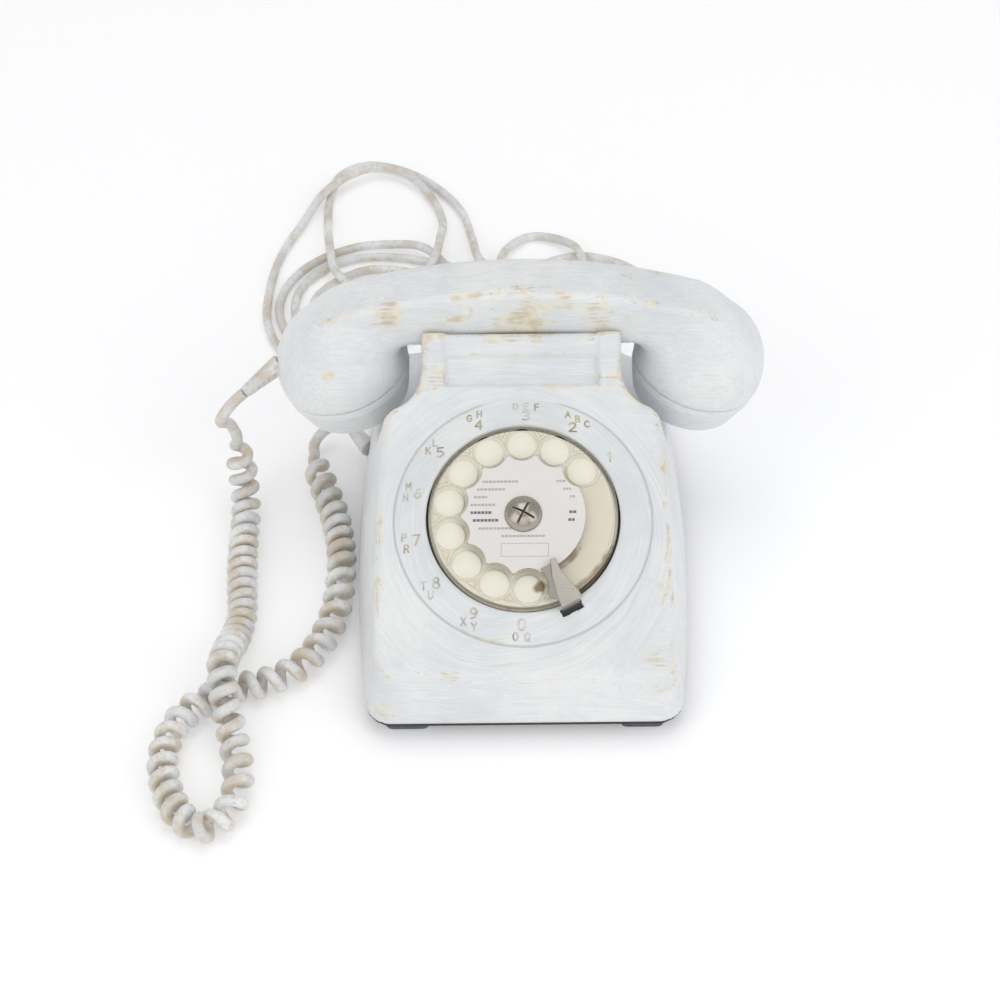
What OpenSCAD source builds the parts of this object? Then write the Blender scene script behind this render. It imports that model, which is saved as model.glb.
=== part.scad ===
// Rotary desk telephone: shell, dial, hook, ringer, handset and cords.
// Millimetres, +Z up, the front (dial side) faces -Y. The origin is on the
// surface it stands on, under the middle of the body and handset.

/* [Body] */
// Width of the body at its lower edge
body_w = 155; // [153:1:157]
// Depth of the body from front to rear
body_d = 205; // [200:1:215]
// Height of the shell's lower edge above the table
rim_z = 9.5; // [8:0.5:11]
// Height of the ridge between the front face and the dial slope
ridge_z = 38; // [34:1:42]
// Slope of the dial panel in degrees
slope = 25; // [22:0.5:27]
// Wall thickness of the shell
wall = 2.6; // [2:0.1:3]
// Lean of the side walls in degrees
side_lean = 10.5; // [9:0.5:11]

/* [Neck] */
// Width of the neck that carries the handset
neck_w = 91; // [86:1:92]
// Height of the neck's rails
neck_z = 117; // [116:0.5:118]
// Width of one rail at each side of the neck
rail_w = 10.5; // [9:0.5:12]

/* [Dial] */
// Outer diameter of the number ring
ring_d = 117; // [112:1:120]
// Height of the number ring's cone
ring_h = 4.5; // [4:0.5:6]
// Diameter of the finger wheel
wheel_d = 84.5; // [82:0.5:86]
// Diameter of a finger hole
hole_d = 14.4; // [13:0.2:15]
// Radius of the circle that the finger holes lie on
hole_r = 33.6; // [32:0.2:34]
// Angle between neighbouring finger holes
hole_step = 26.1; // [25:0.1:27]
// Angle of the first finger hole, from the right, counter-clockwise
first_hole = 38.3; // [36:0.1:41]
// Angle of the finger stop
stop_angle = 297; // [294:1:299]

/* [Handset] */
// Height of the handle's middle above the table
handle_z = 124; // [122:0.5:126]
// Depth of the handle's section, front to back
handle_d = 29; // [26:0.5:29]
// Height of the handle's section
handle_h = 28; // [24:1:29]
// Largest diameter of the two ends
cup_d = 60; // [56:1:62]
// Inward tilt of the two ends in degrees
cup_tilt = 15; // [12:1:17]

/* [Cords] */
// Outer diameter of the curly cord's coil
coil_d = 14.6; // [13:0.2:16]
// Diameter of the curly cord's wire
wire_d = 5; // [4:0.2:5.4]
// Diameter of the line cord
line_d = 4.6; // [4:0.2:5]

/* [Hidden] */
$fn = 48;
front_y = -body_d / 2;
rear_y = body_d / 2;
ridge_y = front_y + 3.5;
ring_s = 72.2;
neck_s = 135.5;
dial_y = ridge_y + ring_s * cos(slope);
dial_z = ridge_z + ring_s * sin(slope);
neck_base_y = ridge_y + neck_s * cos(slope);
neck_base_z = ridge_z + neck_s * sin(slope);
rail_front_y = neck_base_y + (neck_z - neck_base_z) / tan(60);
handle_y = 53;
saddle_z = handle_z - handle_h / 2 - 0.4;
rear_rail_y = 76;
rear_rail_d = 9;
rear_rail_z = 116;
rear_rail_gap = 66;
cup_x = 82;
cup_z = 80;
cap_h = 20;
cap_face_d = 49;
plate_z = 7;
plate_t = 2.5;
floor_in = plate_z + plate_t;
foot_x = 53;
foot_front_y = front_y + 13;
foot_rear_y = rear_y - 20;
screw_x = 52;
screw_front_y = -74;
screw_rear_y = 66;
ear_y = 43;
shaft_d = 8;
pan_z = 5.6;
wheel_z = 8;
wheel_t = 2.2;
card_z = wheel_z + wheel_t;
card_t = 0.5;
stop_z = wheel_z + 4.6;
transfer_x = 25;
governor_x = 37.6;
governor_z = -20.5;
bridge_z = -30.5;
volume_x = 42.5;
volume_y = 40.5;
volume_z = 13;
holes = [for (i = [0:9]) first_hole + i * hole_step];

// Strain reliefs: where each starts and ends, and the start of its cord
relief_top = [[-112, 50, 87], [-129, 43, 75]];
relief_side = [[-74, 60, 18], [-83, 76, 15]];
relief_rear = [[30, rear_y - 1, 17], [30, 126, 9]];

// Routes of the cords. A coil's route is its middle line.
top_route = [[-129.5, 42.8, 74.7], [-135, 41, 70], [-140, 40, 63], [-142, 41, 56], [-140, 44, 50],
    [-136, 46, 44]];
coil_route = [
    [-136, 46, 44], [-135, 44, 30], [-134, 39, 18], [-133, 30, 10], [-133, 16, 7.5], [-133, 0, 7.5],
    [-132, -20, 7.5], [-131, -36, 7.5], [-133, -52, 10], [-135, -66, 18], [-136, -81, 23.6],
    [-134, -96, 18], [-131, -107, 10], [-128, -120, 7.5], [-127, -136, 7.5], [-132, -150, 7.5],
    [-142, -156, 7.5], [-152, -148, 7.5], [-159, -132, 7.5], [-161, -116, 7.5], [-157, -100, 7.5],
    [-147, -88, 7.5], [-133, -80, 7.5], [-118, -76, 7.5], [-104, -68, 7.5], [-94, -54, 7.5],
    [-88, -37, 7.5], [-86, -18, 7.5], [-86, 0, 7.5], [-89, 20, 7.5], [-94, 38, 7.5], [-99, 54, 7.5],
    [-102, 68, 7.5]
];
tail_route = [[-102, 68, 7.5], [-102, 73, 8], [-99, 78, 9.5], [-94, 81, 11.5], [-88, 80, 13.5],
    [-83, 76, 15]];
line_route = [
    [30, 126, 9], [32, 140, 5], [38, 160, 2.4], [52, 178, 2.4], [64, 190, 2.4], [62, 203, 2.4],
    [48, 212, 2.4], [32, 215, 2.4], [16, 210, 2.4], [0, 200, 2.4], [-20, 203, 2.4], [-40, 209, 2.4],
    [-62, 215, 2.4], [-84, 215, 2.4], [-103, 206, 2.4], [-115, 190, 2.4], [-116, 170, 2.4],
    [-106, 152, 2.4], [-86, 141, 2.4], [-62, 138, 2.4], [-38, 143, 2.4], [-20, 158, 2.4],
    [-12, 180, 4], [-10, 200, 7.6], [-5, 220, 4], [8, 231, 2.4], [24, 226, 4], [33, 213, 7.6],
    [36, 195, 4], [28, 176, 2.4], [10, 166, 4], [-12, 168, 9.2], [-28, 176, 4.6], [-42, 190, 4],
    [-58, 203, 3], [-78, 206, 2.4], [-94, 198, 2.4], [-106, 184, 2.4], [-107, 168, 2.4],
    [-97, 155, 2.4], [-78, 149, 2.4], [-58, 152, 2.4], [-42, 164, 4], [-34, 181, 9.6],
    [-38, 202, 8], [-50, 218, 7], [-66, 224, 4], [-88, 223, 2.4], [-110, 210, 2.4],
    [-123, 190, 2.4], [-124, 168, 2.4], [-112, 146, 2.4], [-88, 134, 2.4], [-62, 131, 2.4],
    [-34, 136, 2.4], [-8, 150, 6], [0, 168, 12.6], [-8, 190, 13], [-20, 206, 9], [-24, 228, 4],
    [-30, 252, 2.4], [-44, 272, 2.4], [-62, 286, 2.4], [-82, 291, 2.4], [-97, 282, 2.4],
    [-102, 262, 2.4], [-102, 240, 4], [-100, 218, 8], [-96, 198, 8.6], [-84, 190, 5],
    [-68, 192, 4], [-54, 192, 8], [-44, 202, 13.4], [-41, 221, 11], [-40, 242, 4], [-46, 262, 3],
    [-58, 277, 6], [-73, 284, 7.2], [-90, 278, 7.4], [-105, 262, 7.4], [-116, 242, 3],
    [-126, 218, 2.4], [-131, 190, 2.4], [-130, 162, 2.4], [-116, 134, 2.4], [-94, 120, 5],
    [-74, 116, 9], [-52, 116, 12]
];

function half_w(y) = body_w / 2 - 6.5 * pow((y - 5) / 104, 2);
function arc_pts(c, r, a0, a1, n) = [for (i = [0:n]) [c[0] + r * cos(a0 + (a1 - a0) * i / n),
    c[1] + r * sin(a0 + (a1 - a0) * i / n)]];
function unit(v) = v / norm(v);

// A tube through a route: one ring of points at each route point, ends closed
function ring_at(p, t, d, sides) =
    let (up = abs(t[2]) > 0.9 ? [1, 0, 0] : [0, 0, 1], u = unit(cross(t, up)), v = cross(u, t))
    [for (k = [0:sides - 1]) p + d / 2 * (u * cos(360 * k / sides) + v * sin(360 * k / sides))];
function tangent(r, i) = unit(r[min(i + 1, len(r) - 1)] - r[max(i - 1, 0)]);
module tube(route, d, sides) {
    n = len(route);
    points = [for (i = [0:n - 1]) each ring_at(route[i], tangent(route, i), d, sides)];
    walls = [for (i = [0:n - 2]) for (k = [0:sides - 1])
        let (a = i * sides + k, b = i * sides + (k + 1) % sides)
        each [[a, b, b + sides], [a, b + sides, a + sides]]];
    first = [for (k = [sides - 1:-1:0]) k];
    last = [for (k = [0:sides - 1]) (n - 1) * sides + k];
    polyhedron(points, concat([first], walls, [last]));
}

// Places children in the dial's own frame: +Z out of the panel, +Y up the slope
module at_dial() {
    translate([0, dial_y, dial_z]) rotate([slope, 0, 0]) children();
}

// Extrudes a (y, z) outline along X, centred
module across(width) {
    translate([-width / 2, 0, 0]) rotate([90, 0, 90]) linear_extrude(width) children();
}

// Extrudes an (x, z) outline along Y, centred on y
module along(y, depth) {
    translate([0, y + depth / 2, 0]) rotate([90, 0, 0]) linear_extrude(depth) children();
}

module disc(d, h, z = 0) {
    translate([0, 0, z]) cylinder(d = d, h = h);
}

module annulus(d, bore, h, z = 0) {
    translate([0, 0, z]) difference() {
        cylinder(d = d, h = h);
        translate([0, 0, -1]) cylinder(d = bore, h = h + 2);
    }
}

// Side outline of the wide part of the body, drawn smaller by inset t
module wide_side(t) {
    polygon([
        [front_y + t, rim_z], [ridge_y + t, ridge_z - t],
        [15.5, ridge_z + (15.5 - ridge_y) * tan(slope) - t / cos(slope)],
        [27 - t, 56 - t], [rear_y - 7 - t, 47 - t], [rear_y - t, rim_z]
    ]);
}

// Side outline of the neck, drawn smaller by inset t
module neck_side(t) {
    polygon([
        [0, 60], [0, ridge_z - ridge_y * tan(slope) - t / cos(slope)],
        [neck_base_y + t, neck_base_z - t / 2], [rail_front_y + t, neck_z - t],
        [48, neck_z - t], [rear_rail_y - 4, rear_rail_z - t],
        [rear_rail_y + rear_rail_d - t, rear_rail_z - t], [rear_y - 9 - t, 40], [0, 40]
    ]);
}

// Plan outline with bowed sides and small round corners
module plan(t) {
    side = [for (y = [front_y + 8:9:rear_y - 8]) [half_w(y) - t, y]];
    top = [[half_w(rear_y) - t, rear_y - 8], [half_w(rear_y) - t - 3, rear_y - 3 - t / 2],
        [half_w(rear_y) - t - 8, rear_y - t]];
    low = [[half_w(front_y) - t - 8, front_y + t], [half_w(front_y) - t - 3, front_y + 3 + t / 2]];
    right = concat(low, side, top);
    polygon(concat(right, [for (i = [len(right) - 1:-1:0]) [-right[i][0], right[i][1]]]));
}

// Front outline: side walls that lean in towards the top
module front_view(t) {
    w = body_w / 2 - t;
    h = 90;
    polygon([[-w, rim_z], [w, rim_z], [w - h * tan(side_lean), rim_z + h],
        [-w + h * tan(side_lean), rim_z + h]]);
}

module shell_solid(t) {
    intersection() {
        across(body_w + 4) wide_side(t);
        translate([0, 0, rim_z - 2]) linear_extrude(120) plan(t);
        along(0, body_d + 4) front_view(t);
    }
    intersection() {
        across(neck_w - 2 * t) neck_side(t);
        translate([-neck_w / 2, 0, 0]) cube([neck_w, rear_y, neck_z + 5]);
    }
}

module body_shell() {
    saddle_front = rail_front_y + wall;
    saddle_depth = rear_rail_y - saddle_front;
    color("whitesmoke") difference() {
        union() {
            difference() {
                shell_solid(0);
                shell_solid(wall);
                // Saddle between the front and rear rails
                translate([-neck_w, saddle_front, saddle_z]) cube([neck_w * 2, saddle_depth, 20]);
            }
            // Floor of the saddle and the inner faces of the rails
            translate([-neck_w / 2 + 1, saddle_front - wall, saddle_z - wall])
                cube([neck_w - 2, saddle_depth + 2 * wall, wall]);
            translate([-neck_w / 2 + 1, saddle_front - wall, saddle_z - wall])
                cube([neck_w - 2, wall, neck_z - saddle_z + wall - 1]);
            translate([-neck_w / 2 + 1, rear_rail_y, saddle_z - wall])
                cube([neck_w - 2, rear_rail_d - 1, rear_rail_z - saddle_z + wall - 0.5]);
            // Screw bosses under the slope and the rear
            for (side = [-1, 1]) {
                screw_boss(side * screw_x, screw_front_y, 48.5);
                screw_boss(side * screw_x, screw_rear_y, 50);
            }
        }
        // Gap between the two rear rails
        translate([-rear_rail_gap / 2, rear_rail_y - 1, saddle_z + 0.5])
            cube([rear_rail_gap, rear_rail_d + 5, 10]);
        // Seat for the dial
        at_dial() disc(93, 40, -20);
        // Label recess between the rails
        translate([0, neck_base_y, neck_base_z]) rotate([-30, 0, 0])
            translate([-neck_w / 2 + rail_w, -1.6, 1]) cube([neck_w - 2 * rail_w, 2.2, 13]);
        // Slots for the ears of the hook lever
        for (side = [-1, 1])
            translate([side * 42.5 - 8.5, ear_y - 1, 98]) cube([17, 9, 16]);
        // Holes for the two cords
        translate([-body_w / 2, relief_side[0][1], relief_side[0][2]]) rotate([0, 90, 0])
            cylinder(d = 9.3, h = 20);
        translate([relief_rear[0][0], rear_y - 15, relief_rear[0][2]]) rotate([-90, 0, 0])
            cylinder(d = 8.3, h = 20);
    }
}

module screw_boss(x, y, top) {
    translate([x, y, floor_in]) difference() {
        cylinder(d = 7, h = top - floor_in);
        translate([0, 0, -1]) cylinder(d = 2.8, h = 15);
    }
}

module number_ring() {
    color("gainsboro") at_dial() difference() {
        rotate_extrude($fn = 96)
            polygon([[45.9, -5], [45.9, 0], [ring_d / 2, 0], [ring_d / 2 - 1, 1], [45.5, ring_h],
                [43.6, ring_h], [43.6, -5]]);
        // Slot beside the finger stop
        rotate(stop_angle) translate([44.8, -5, ring_h - 2.2]) cube([3.4, 10, 5]);
    }
}

module base_plate() {
    color("dimgray") difference() {
        translate([0, 0, plate_z]) linear_extrude(plate_t) plan(1);
        for (side = [-1, 1], y = [screw_front_y, screw_rear_y])
            translate([side * screw_x, y, 0]) cylinder(d = 3.6, h = 20);
        // Slot for the volume wheel
        translate([volume_x - 2.5, volume_y - 10.5, 0]) cube([5, 21, 20]);
    }
}

module rubber_feet() {
    color("dimgray") for (side = [-1, 1], y = [foot_front_y, foot_rear_y])
        translate([side * foot_x, y, 0]) foot();
}

module foot() {
    linear_extrude(plate_z) square([20, 18], center = true);
}

module base_screws() {
    color("silver") for (side = [-1, 1], y = [screw_front_y, screw_rear_y])
        base_screw(side * screw_x, y);
}

module base_screw(x, y) {
    head_low = plate_z - 2;
    translate([x, y, head_low]) difference() {
        union() {
            cylinder(d = 6.4, h = 2);
            cylinder(d = 2.8, h = 14);
        }
        translate([-4, -0.5, -1]) cube([8, 1, 1.8]);
    }
}

// Dial. Heights are in the dial's own frame.
module dial_case() {
    color("silver") at_dial() difference() {
        disc(86.6, 10, -11);
        disc(84, 12, -9.5);
        disc(14, 12, -12);
        translate([transfer_x, 0, -12]) cylinder(d = 3.1, h = 5);
    }
}

module dial_pan() {
    color("cornsilk") at_dial() difference() {
        union() {
            disc(86.6, 1.4, -1);
            disc(82.4, pan_z + 1, -1);
            for (a = holes)
                rotate(a) translate([hole_r, 0, pan_z - 0.1]) cylinder(d = hole_d - 1.2, h = 0.7);
        }
        disc(79, pan_z, -1.4);
        disc(13, 12, -3);
    }
}

module finger_wheel() {
    color([0.95, 0.93, 0.85, 0.6]) at_dial() difference() {
        disc(wheel_d, wheel_t, wheel_z);
        for (a = holes) rotate(a) translate([hole_r, 0, 0]) cylinder(d = hole_d, h = 12);
        disc(4.1, 20, 0);
    }
}

module label_card() {
    color("whitesmoke") at_dial() difference() {
        disc(55.4, card_t, card_z);
        for (a = holes) rotate(a) translate([hole_r, 0, card_z - 1]) cylinder(d = hole_d + 2.8, h = 3);
        disc(4.1, 20, 0);
    }
}

module dial_screw() {
    dome_r = 11.6;
    head_z = card_z + card_t;
    color("gray") at_dial() difference() {
        union() {
            translate([0, 0, head_z]) intersection() {
                cylinder(d = 17, h = 5);
                translate([0, 0, 4 - dome_r]) sphere(r = dome_r, $fn = 64);
            }
            disc(4, head_z + 2, -1.5);
        }
        for (a = [62, 152]) rotate(a) translate([-6, -0.5, head_z + 2.9]) cube([12, 1, 4]);
    }
}

module finger_stop() {
    tip_r = 26;
    color("silver") at_dial() rotate(stop_angle) {
        translate([0, 0, stop_z]) linear_extrude(1.4)
            polygon([[tip_r, 5.4], [tip_r, 1.6], [32, -2.4], [37, -5.2], [46.4, -5.6], [46.4, 4.6],
                [36, 3.4]]);
        translate([44.9, -4.8, ring_h - 2.1]) cube([1.5, 9.2, stop_z + 2.2 - ring_h]);
    }
}

module main_shaft() {
    color("goldenrod") at_dial() difference() {
        union() {
            disc(shaft_d, 32, bridge_z);
            disc(11.6, wheel_z - 1.2, 1.2);
        }
        disc(4.04, 12, -2);
    }
}

module toothed(teeth, root_d, tip_d, h, bore) {
    difference() {
        union() {
            cylinder(d = root_d, h = h);
            for (i = [0:teeth - 1]) rotate(i * 360 / teeth) linear_extrude(h)
                polygon([[root_d / 2 - 1, -tooth_w(root_d, teeth)], [tip_d / 2, -tooth_w(root_d, teeth) / 2],
                    [tip_d / 2, tooth_w(root_d, teeth) / 2], [root_d / 2 - 1, tooth_w(root_d, teeth)]]);
        }
        translate([0, 0, -1]) cylinder(d = bore, h = h + 2);
    }
}

function tooth_w(d, teeth) = PI * d / teeth / 4;

module main_gear() {
    color("goldenrod") at_dial() translate([0, 0, -16.5]) toothed(36, 35, 39, 2, shaft_d + 0.02);
}

module pulse_cam() {
    color("tan") at_dial() translate([0, 0, -20.5]) difference() {
        cylinder(d = 27, h = 2.5);
        for (a = holes) rotate(a) translate([13.6, 0, -1]) cylinder(d = 4, h = 5);
        translate([0, 0, -1]) cylinder(d = shaft_d + 0.02, h = 6);
    }
}

// Flat spiral spring: a band that winds four times round the shaft
spring_turns = 4;
function spiral(r0, step, t, dir) =
    [for (i = [0:spring_turns * 16]) let (k = dir > 0 ? i : spring_turns * 16 - i, a = k * 22.5,
        r = r0 + step * k / 16 + (dir > 0 ? t / 2 : -t / 2)) [r * cos(a), r * sin(a)]];
module mainspring() {
    color("slategray") at_dial() translate([0, 0, -27.5]) linear_extrude(5.5)
        polygon(concat(spiral(5, 1.9, 0.7, 1), spiral(5, 1.9, 0.7, -1)));
}

module dial_bridge() {
    post_h = 17.5;
    color("silver") at_dial() difference() {
        union() {
            translate([-22, -16, bridge_z]) cube([66, 38, 2]);
            translate([-22, -16, bridge_z + 1.9]) cube([2, 14, post_h + 0.1]);
            translate([34, -16, bridge_z + 1.9]) cube([8, 2.5, post_h + 0.1]);
            for (y = [-13, 8.5])
                translate([governor_x - 2.5, y, bridge_z + 1.9]) cube([5, 2.5, 12]);
            translate([governor_x - 3, 12.5, bridge_z + 1.9]) cube([6, 6, 1.85]);
        }
        translate([0, 0, bridge_z - 1]) cylinder(d = shaft_d + 0.1, h = 6);
        translate([transfer_x, 0, bridge_z - 1]) cylinder(d = 3.1, h = 6);
        translate([governor_x, -14, governor_z]) rotate([-90, 0, 0]) cylinder(d = 2.5, h = 26);
    }
}

module transfer_arbor() {
    color("goldenrod") at_dial() translate([transfer_x, 0, bridge_z + 0.2]) cylinder(d = 3, h = 20.4);
}

module transfer_gear() {
    color("goldenrod") at_dial() translate([transfer_x, 0, 0]) difference() {
        union() {
            translate([0, 0, -16.5]) rotate(15) toothed(12, 10.4, 14.4, 2, 3.02);
            translate([0, 0, -20]) cylinder(d = 7, h = 4);
            translate([0, 0, -22]) toothed(24, 16, 18, 3, 3.02);
        }
        translate([0, 0, -24]) cylinder(d = 3.02, h = 12);
    }
}

module governor_spindle() {
    color("silver") at_dial() translate([governor_x, -13.5, governor_z]) rotate([-90, 0, 0]) {
        cylinder(d = 2.4, h = 30);
        translate([0, 0, 7.5]) cylinder(d = 6, h = 12);
        translate([0, 0, 26.5]) cylinder(d = 8.6, h = 3.5);
    }
}

module governor_cup() {
    color("silver") at_dial() translate([governor_x, 12.5, governor_z]) rotate([-90, 0, 0]) difference() {
        cylinder(d = 12.4, h = 6);
        translate([0, 0, -1]) cylinder(d = 10, h = 6);
    }
}

module pulse_contacts() {
    color("goldenrod") at_dial() for (i = [0:3])
        translate([-20, 15.6 + i * 1.6, -26]) cube([24, 0.5, 6]);
    color("saddlebrown") at_dial() translate([-21, 15, bridge_z + 2]) cube([6, 6.6, 11]);
}

// Hook
hook_y = 66;
hook_z = 92;
ear_top = saddle_z + 0.1;
module hook_lever() {
    color("white") {
        translate([-neck_w / 2 + 4, hook_y, hook_z]) rotate([0, 90, 0]) difference() {
            cylinder(d = 7, h = neck_w - 8);
            translate([0, 0, -1]) cylinder(d = 3.06, h = neck_w);
        }
        for (side = [-1, 1]) {
            translate([side * 39 - 2, ear_y, hook_z - 1.5]) cube([4, hook_y - ear_y - 2.5, 3]);
            translate([side * 39 - 2, ear_y, hook_z]) cube([4, 4, ear_top - hook_z - 1]);
            translate([side * 43.5 - 6.5, ear_y, ear_top - 5]) cube([13, 4, 5]);
        }
        translate([-3, hook_y + 2.5, hook_z - 1.5]) cube([6, 12, 3]);
    }
}

module hook_pin() {
    pin_l = neck_w - 2 * wall;
    color("silver") translate([-pin_l / 2, hook_y, hook_z]) rotate([0, 90, 0]) cylinder(d = 3, h = pin_l);
}

module hook_spring() {
    color("silver") for (i = [0:11]) translate([0, 77, 78.9 + i]) rotate_extrude()
        translate([2, 0]) circle(d = 1.1, $fn = 16);
}

module hook_contacts() {
    color("saddlebrown") {
        translate([-3, 74, floor_in]) cube([6, 6, 51]);
        translate([-6, 71, 60]) cube([12, 12, 6]);
    }
    color("silver") translate([-5.5, 72, 66]) cube([11, 10, 12.3]);
}

// Ringer
module gong(x) {
    translate([x, 66, 22]) difference() {
        union() {
            cylinder(d = 40, h = 10);
            translate([0, 0, 9.9]) cylinder(d1 = 40, d2 = 26, h = 5);
        }
        translate([0, 0, -1]) cylinder(d = 37, h = 9.5);
        translate([0, 0, 8.4]) cylinder(d1 = 37, d2 = 24, h = 4.6);
        cylinder(d = 4.1, h = 30);
    }
}

module gong_left() {
    color("silver") gong(-25);
}

module gong_right() {
    color("silver") gong(25);
}

module gong_screws() {
    color("dimgray") for (x = [-25, 25]) translate([x, 66, floor_in]) {
        cylinder(d = 8, h = 35 - floor_in);
        cylinder(d = 4, h = 37 - floor_in);
        translate([0, 0, 36.9 - floor_in]) cylinder(d = 7, h = 2.5);
    }
}

module ringer_frame() {
    color("silver") {
        translate([-16, 22, floor_in]) cube([32, 20, 2]);
        for (x = [-16, 14]) translate([x, 22, floor_in + 1.9]) cube([2, 20, 22]);
    }
}

module ringer_coil() {
    color("darkred") translate([-13.8, 31, floor_in + 14]) rotate([0, 90, 0]) difference() {
        union() {
            cylinder(d = 14, h = 27.6);
            cylinder(d = 18, h = 1.5);
            translate([0, 0, 26.1]) cylinder(d = 18, h = 1.5);
        }
        translate([0, 0, -1]) cylinder(d = 5, h = 30);
    }
}

module ringer_magnet() {
    color("dimgray") translate([-13.8, 31, floor_in + 14]) rotate([0, 90, 0]) cylinder(d = 4.9, h = 27.6);
}

module clapper_pin() {
    color("silver") translate([0, 48, floor_in]) cylinder(d = 3, h = 24);
}

module clapper() {
    color("goldenrod") {
        translate([0, 48, 25]) difference() {
            cylinder(d = 7, h = 5);
            translate([0, 0, -1]) cylinder(d = 3.06, h = 7);
        }
        translate([-0.8, 50.8, 26.5]) cube([1.6, 13, 2]);
        translate([0, 66, 24.5]) cylinder(d = 6, h = 6);
    }
}

module volume_wheel() {
    color("ivory") translate([volume_x - 1.6, volume_y, volume_z]) rotate([0, 90, 0]) difference() {
        union() {
            cylinder(d = 18, h = 3.2);
            for (i = [0:17]) rotate(i * 20) translate([8.6, -0.8, 0]) cube([1, 1.6, 3.2]);
        }
        translate([0, 0, -1]) cylinder(d = 3.06, h = 6);
    }
}

module volume_bracket() {
    color("silver") {
        for (side = [-1, 1])
            translate([volume_x + side * 4.5 - 0.75, volume_y - 4, floor_in]) cube([1.5, 8, 8]);
        translate([volume_x - 5, volume_y, volume_z]) rotate([0, 90, 0]) cylinder(d = 3, h = 10);
    }
}

// Circuit
module circuit_board() {
    color("peru") difference() {
        translate([-50, -10, 18]) cube([100, 26, 1.6]);
        for (side = [-1, 1]) translate([side * 45, 3, 10]) cylinder(d = 3.1, h = 20);
    }
}

module board_posts() {
    color("silver") for (side = [-1, 1]) translate([side * 45, 3, floor_in]) {
        cylinder(d = 6, h = 18 - floor_in);
        cylinder(d = 3, h = 22 - floor_in);
    }
}

module induction_coil() {
    color("olive") translate([-36, -7, 19.6]) cube([22, 20, 3]);
    color("olive") translate([-34, -5, 22.5]) cube([18, 16, 12]);
}

module capacitors() {
    color("gold") for (x = [0, 13]) translate([x, -6, 19.6]) cube([10, 18, 11]);
}

module terminal_block() {
    color("ivory") difference() {
        translate([28, -7, 19.6]) cube([12, 20, 7]);
        for (i = [0:3]) translate([34, -4.5 + i * 5, 24]) cylinder(d = 3, h = 5);
    }
}

// Handset. Each end is drawn at its own side.
module at_cup(side) {
    translate([side * cup_x, handle_y, cup_z]) rotate([0, side * cup_tilt, 0]) children();
}

module handle_outline() {
    polygon([[-50, handle_z - handle_h / 2], [50, handle_z - handle_h / 2], [60, 106], [100, 96],
        [103, 104], [92, 118], [70, 129], [45, 135], [20, handle_z + handle_h / 2],
        [-20, handle_z + handle_h / 2], [-45, 135], [-70, 129], [-92, 118], [-103, 104], [-100, 96],
        [-60, 106]]);
}

// Handle section, wide enough below its ends for the drooping outline
module handle_section() {
    w = handle_d / 2;
    low = handle_z - handle_h / 2;
    top = handle_z + handle_h / 2;
    polygon([[-w / 2, 90], [w / 2, 90], [w / 2, low], [w - 1, low + 8], [w, top - 12], [w - 5, top - 3],
        [w - 12, top], [12 - w, top], [5 - w, top - 3], [-w, top - 12], [1 - w, low + 8], [-w / 2, low]]);
}

module handset_shell() {
    color("whitesmoke") difference() {
        union() {
            intersection() {
                along(handle_y, handle_d + 2) handle_outline();
                across(240) translate([handle_y + 1, 0]) handle_section();
            }
            for (side = [-1, 1]) at_cup(side) {
                cylinder(d = cup_d, h = 12);
                translate([0, 0, 11.9]) cylinder(d1 = cup_d, d2 = 40, h = 22);
            }
        }
        for (side = [-1, 1]) at_cup(side) {
            translate([0, 0, -1]) cylinder(d = cup_d - 7, h = 14);
            translate([0, 0, 12.9]) cylinder(d1 = cup_d - 7, d2 = 30, h = 16);
        }
        translate([-80, handle_y - 6, 114]) cube([160, 12, 8]);
        at_cup(-1) translate([-40, 0, 6]) rotate([0, 90, 0]) cylinder(d = 6, h = 20);
    }
}

module cap(side) {
    at_cup(side) difference() {
        translate([0, 0, -cap_h]) {
            cylinder(d1 = cap_face_d, d2 = cup_d, h = cap_h - 5);
            translate([0, 0, cap_h - 5.1]) cylinder(d = cup_d, h = 5);
        }
        translate([0, 0, 2.5 - cap_h]) cylinder(d = cap_face_d - 5, h = cap_h);
        translate([0, 0, -cap_h - 1]) cylinder(d = 2.5, h = 6);
        for (r = [7, 13], i = [0:7]) rotate(i * 45) translate([r, 0, -cap_h - 1]) cylinder(d = 2.5, h = 6);
    }
}

module earpiece_cap() {
    color("whitesmoke") cap(1);
}

module mouthpiece_cap() {
    color("whitesmoke") cap(-1);
}

module capsule(side) {
    at_cup(side) translate([0, 0, 2.6 - cap_h]) {
        cylinder(d = cap_face_d - 6, h = 11);
        translate([0, 0, 10.9]) cylinder(d = 26, h = 6);
    }
}

module receiver_capsule() {
    color("silver") capsule(1);
}

module transmitter_capsule() {
    color("dimgray") capsule(-1);
}

module handset_wires() {
    color("firebrick") for (y = [-2.5, 0, 2.5])
        translate([-72, handle_y + y, 118]) rotate([0, 90, 0]) cylinder(d = 1.4, h = 144);
}

// Cords
module relief(from, to, d_from, d_to) {
    v = to - from;
    translate(from) rotate([0, acos(v[2] / norm(v)), atan2(v[1], v[0])])
        cylinder(d1 = d_from, d2 = d_to, h = norm(v));
}

module handset_relief() {
    color("gainsboro") relief(relief_top[0], relief_top[1], 9.5, wire_d + 0.8);
}

module handset_cord_top() {
    color("gainsboro") tube(top_route, wire_d, 8);
}

module handset_cord_coil() {
    color("gainsboro") tube(coil_route, coil_d, 12);
}

module handset_cord_tail() {
    color("gainsboro") tube(tail_route, wire_d, 8);
}

module body_relief() {
    color("gainsboro") {
        relief(relief_side[0], relief_side[1], 9, wire_d + 0.8);
        translate(relief_side[0]) rotate([0, 90, 0]) cylinder(d = 7.6, h = 7);
    }
}

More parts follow.
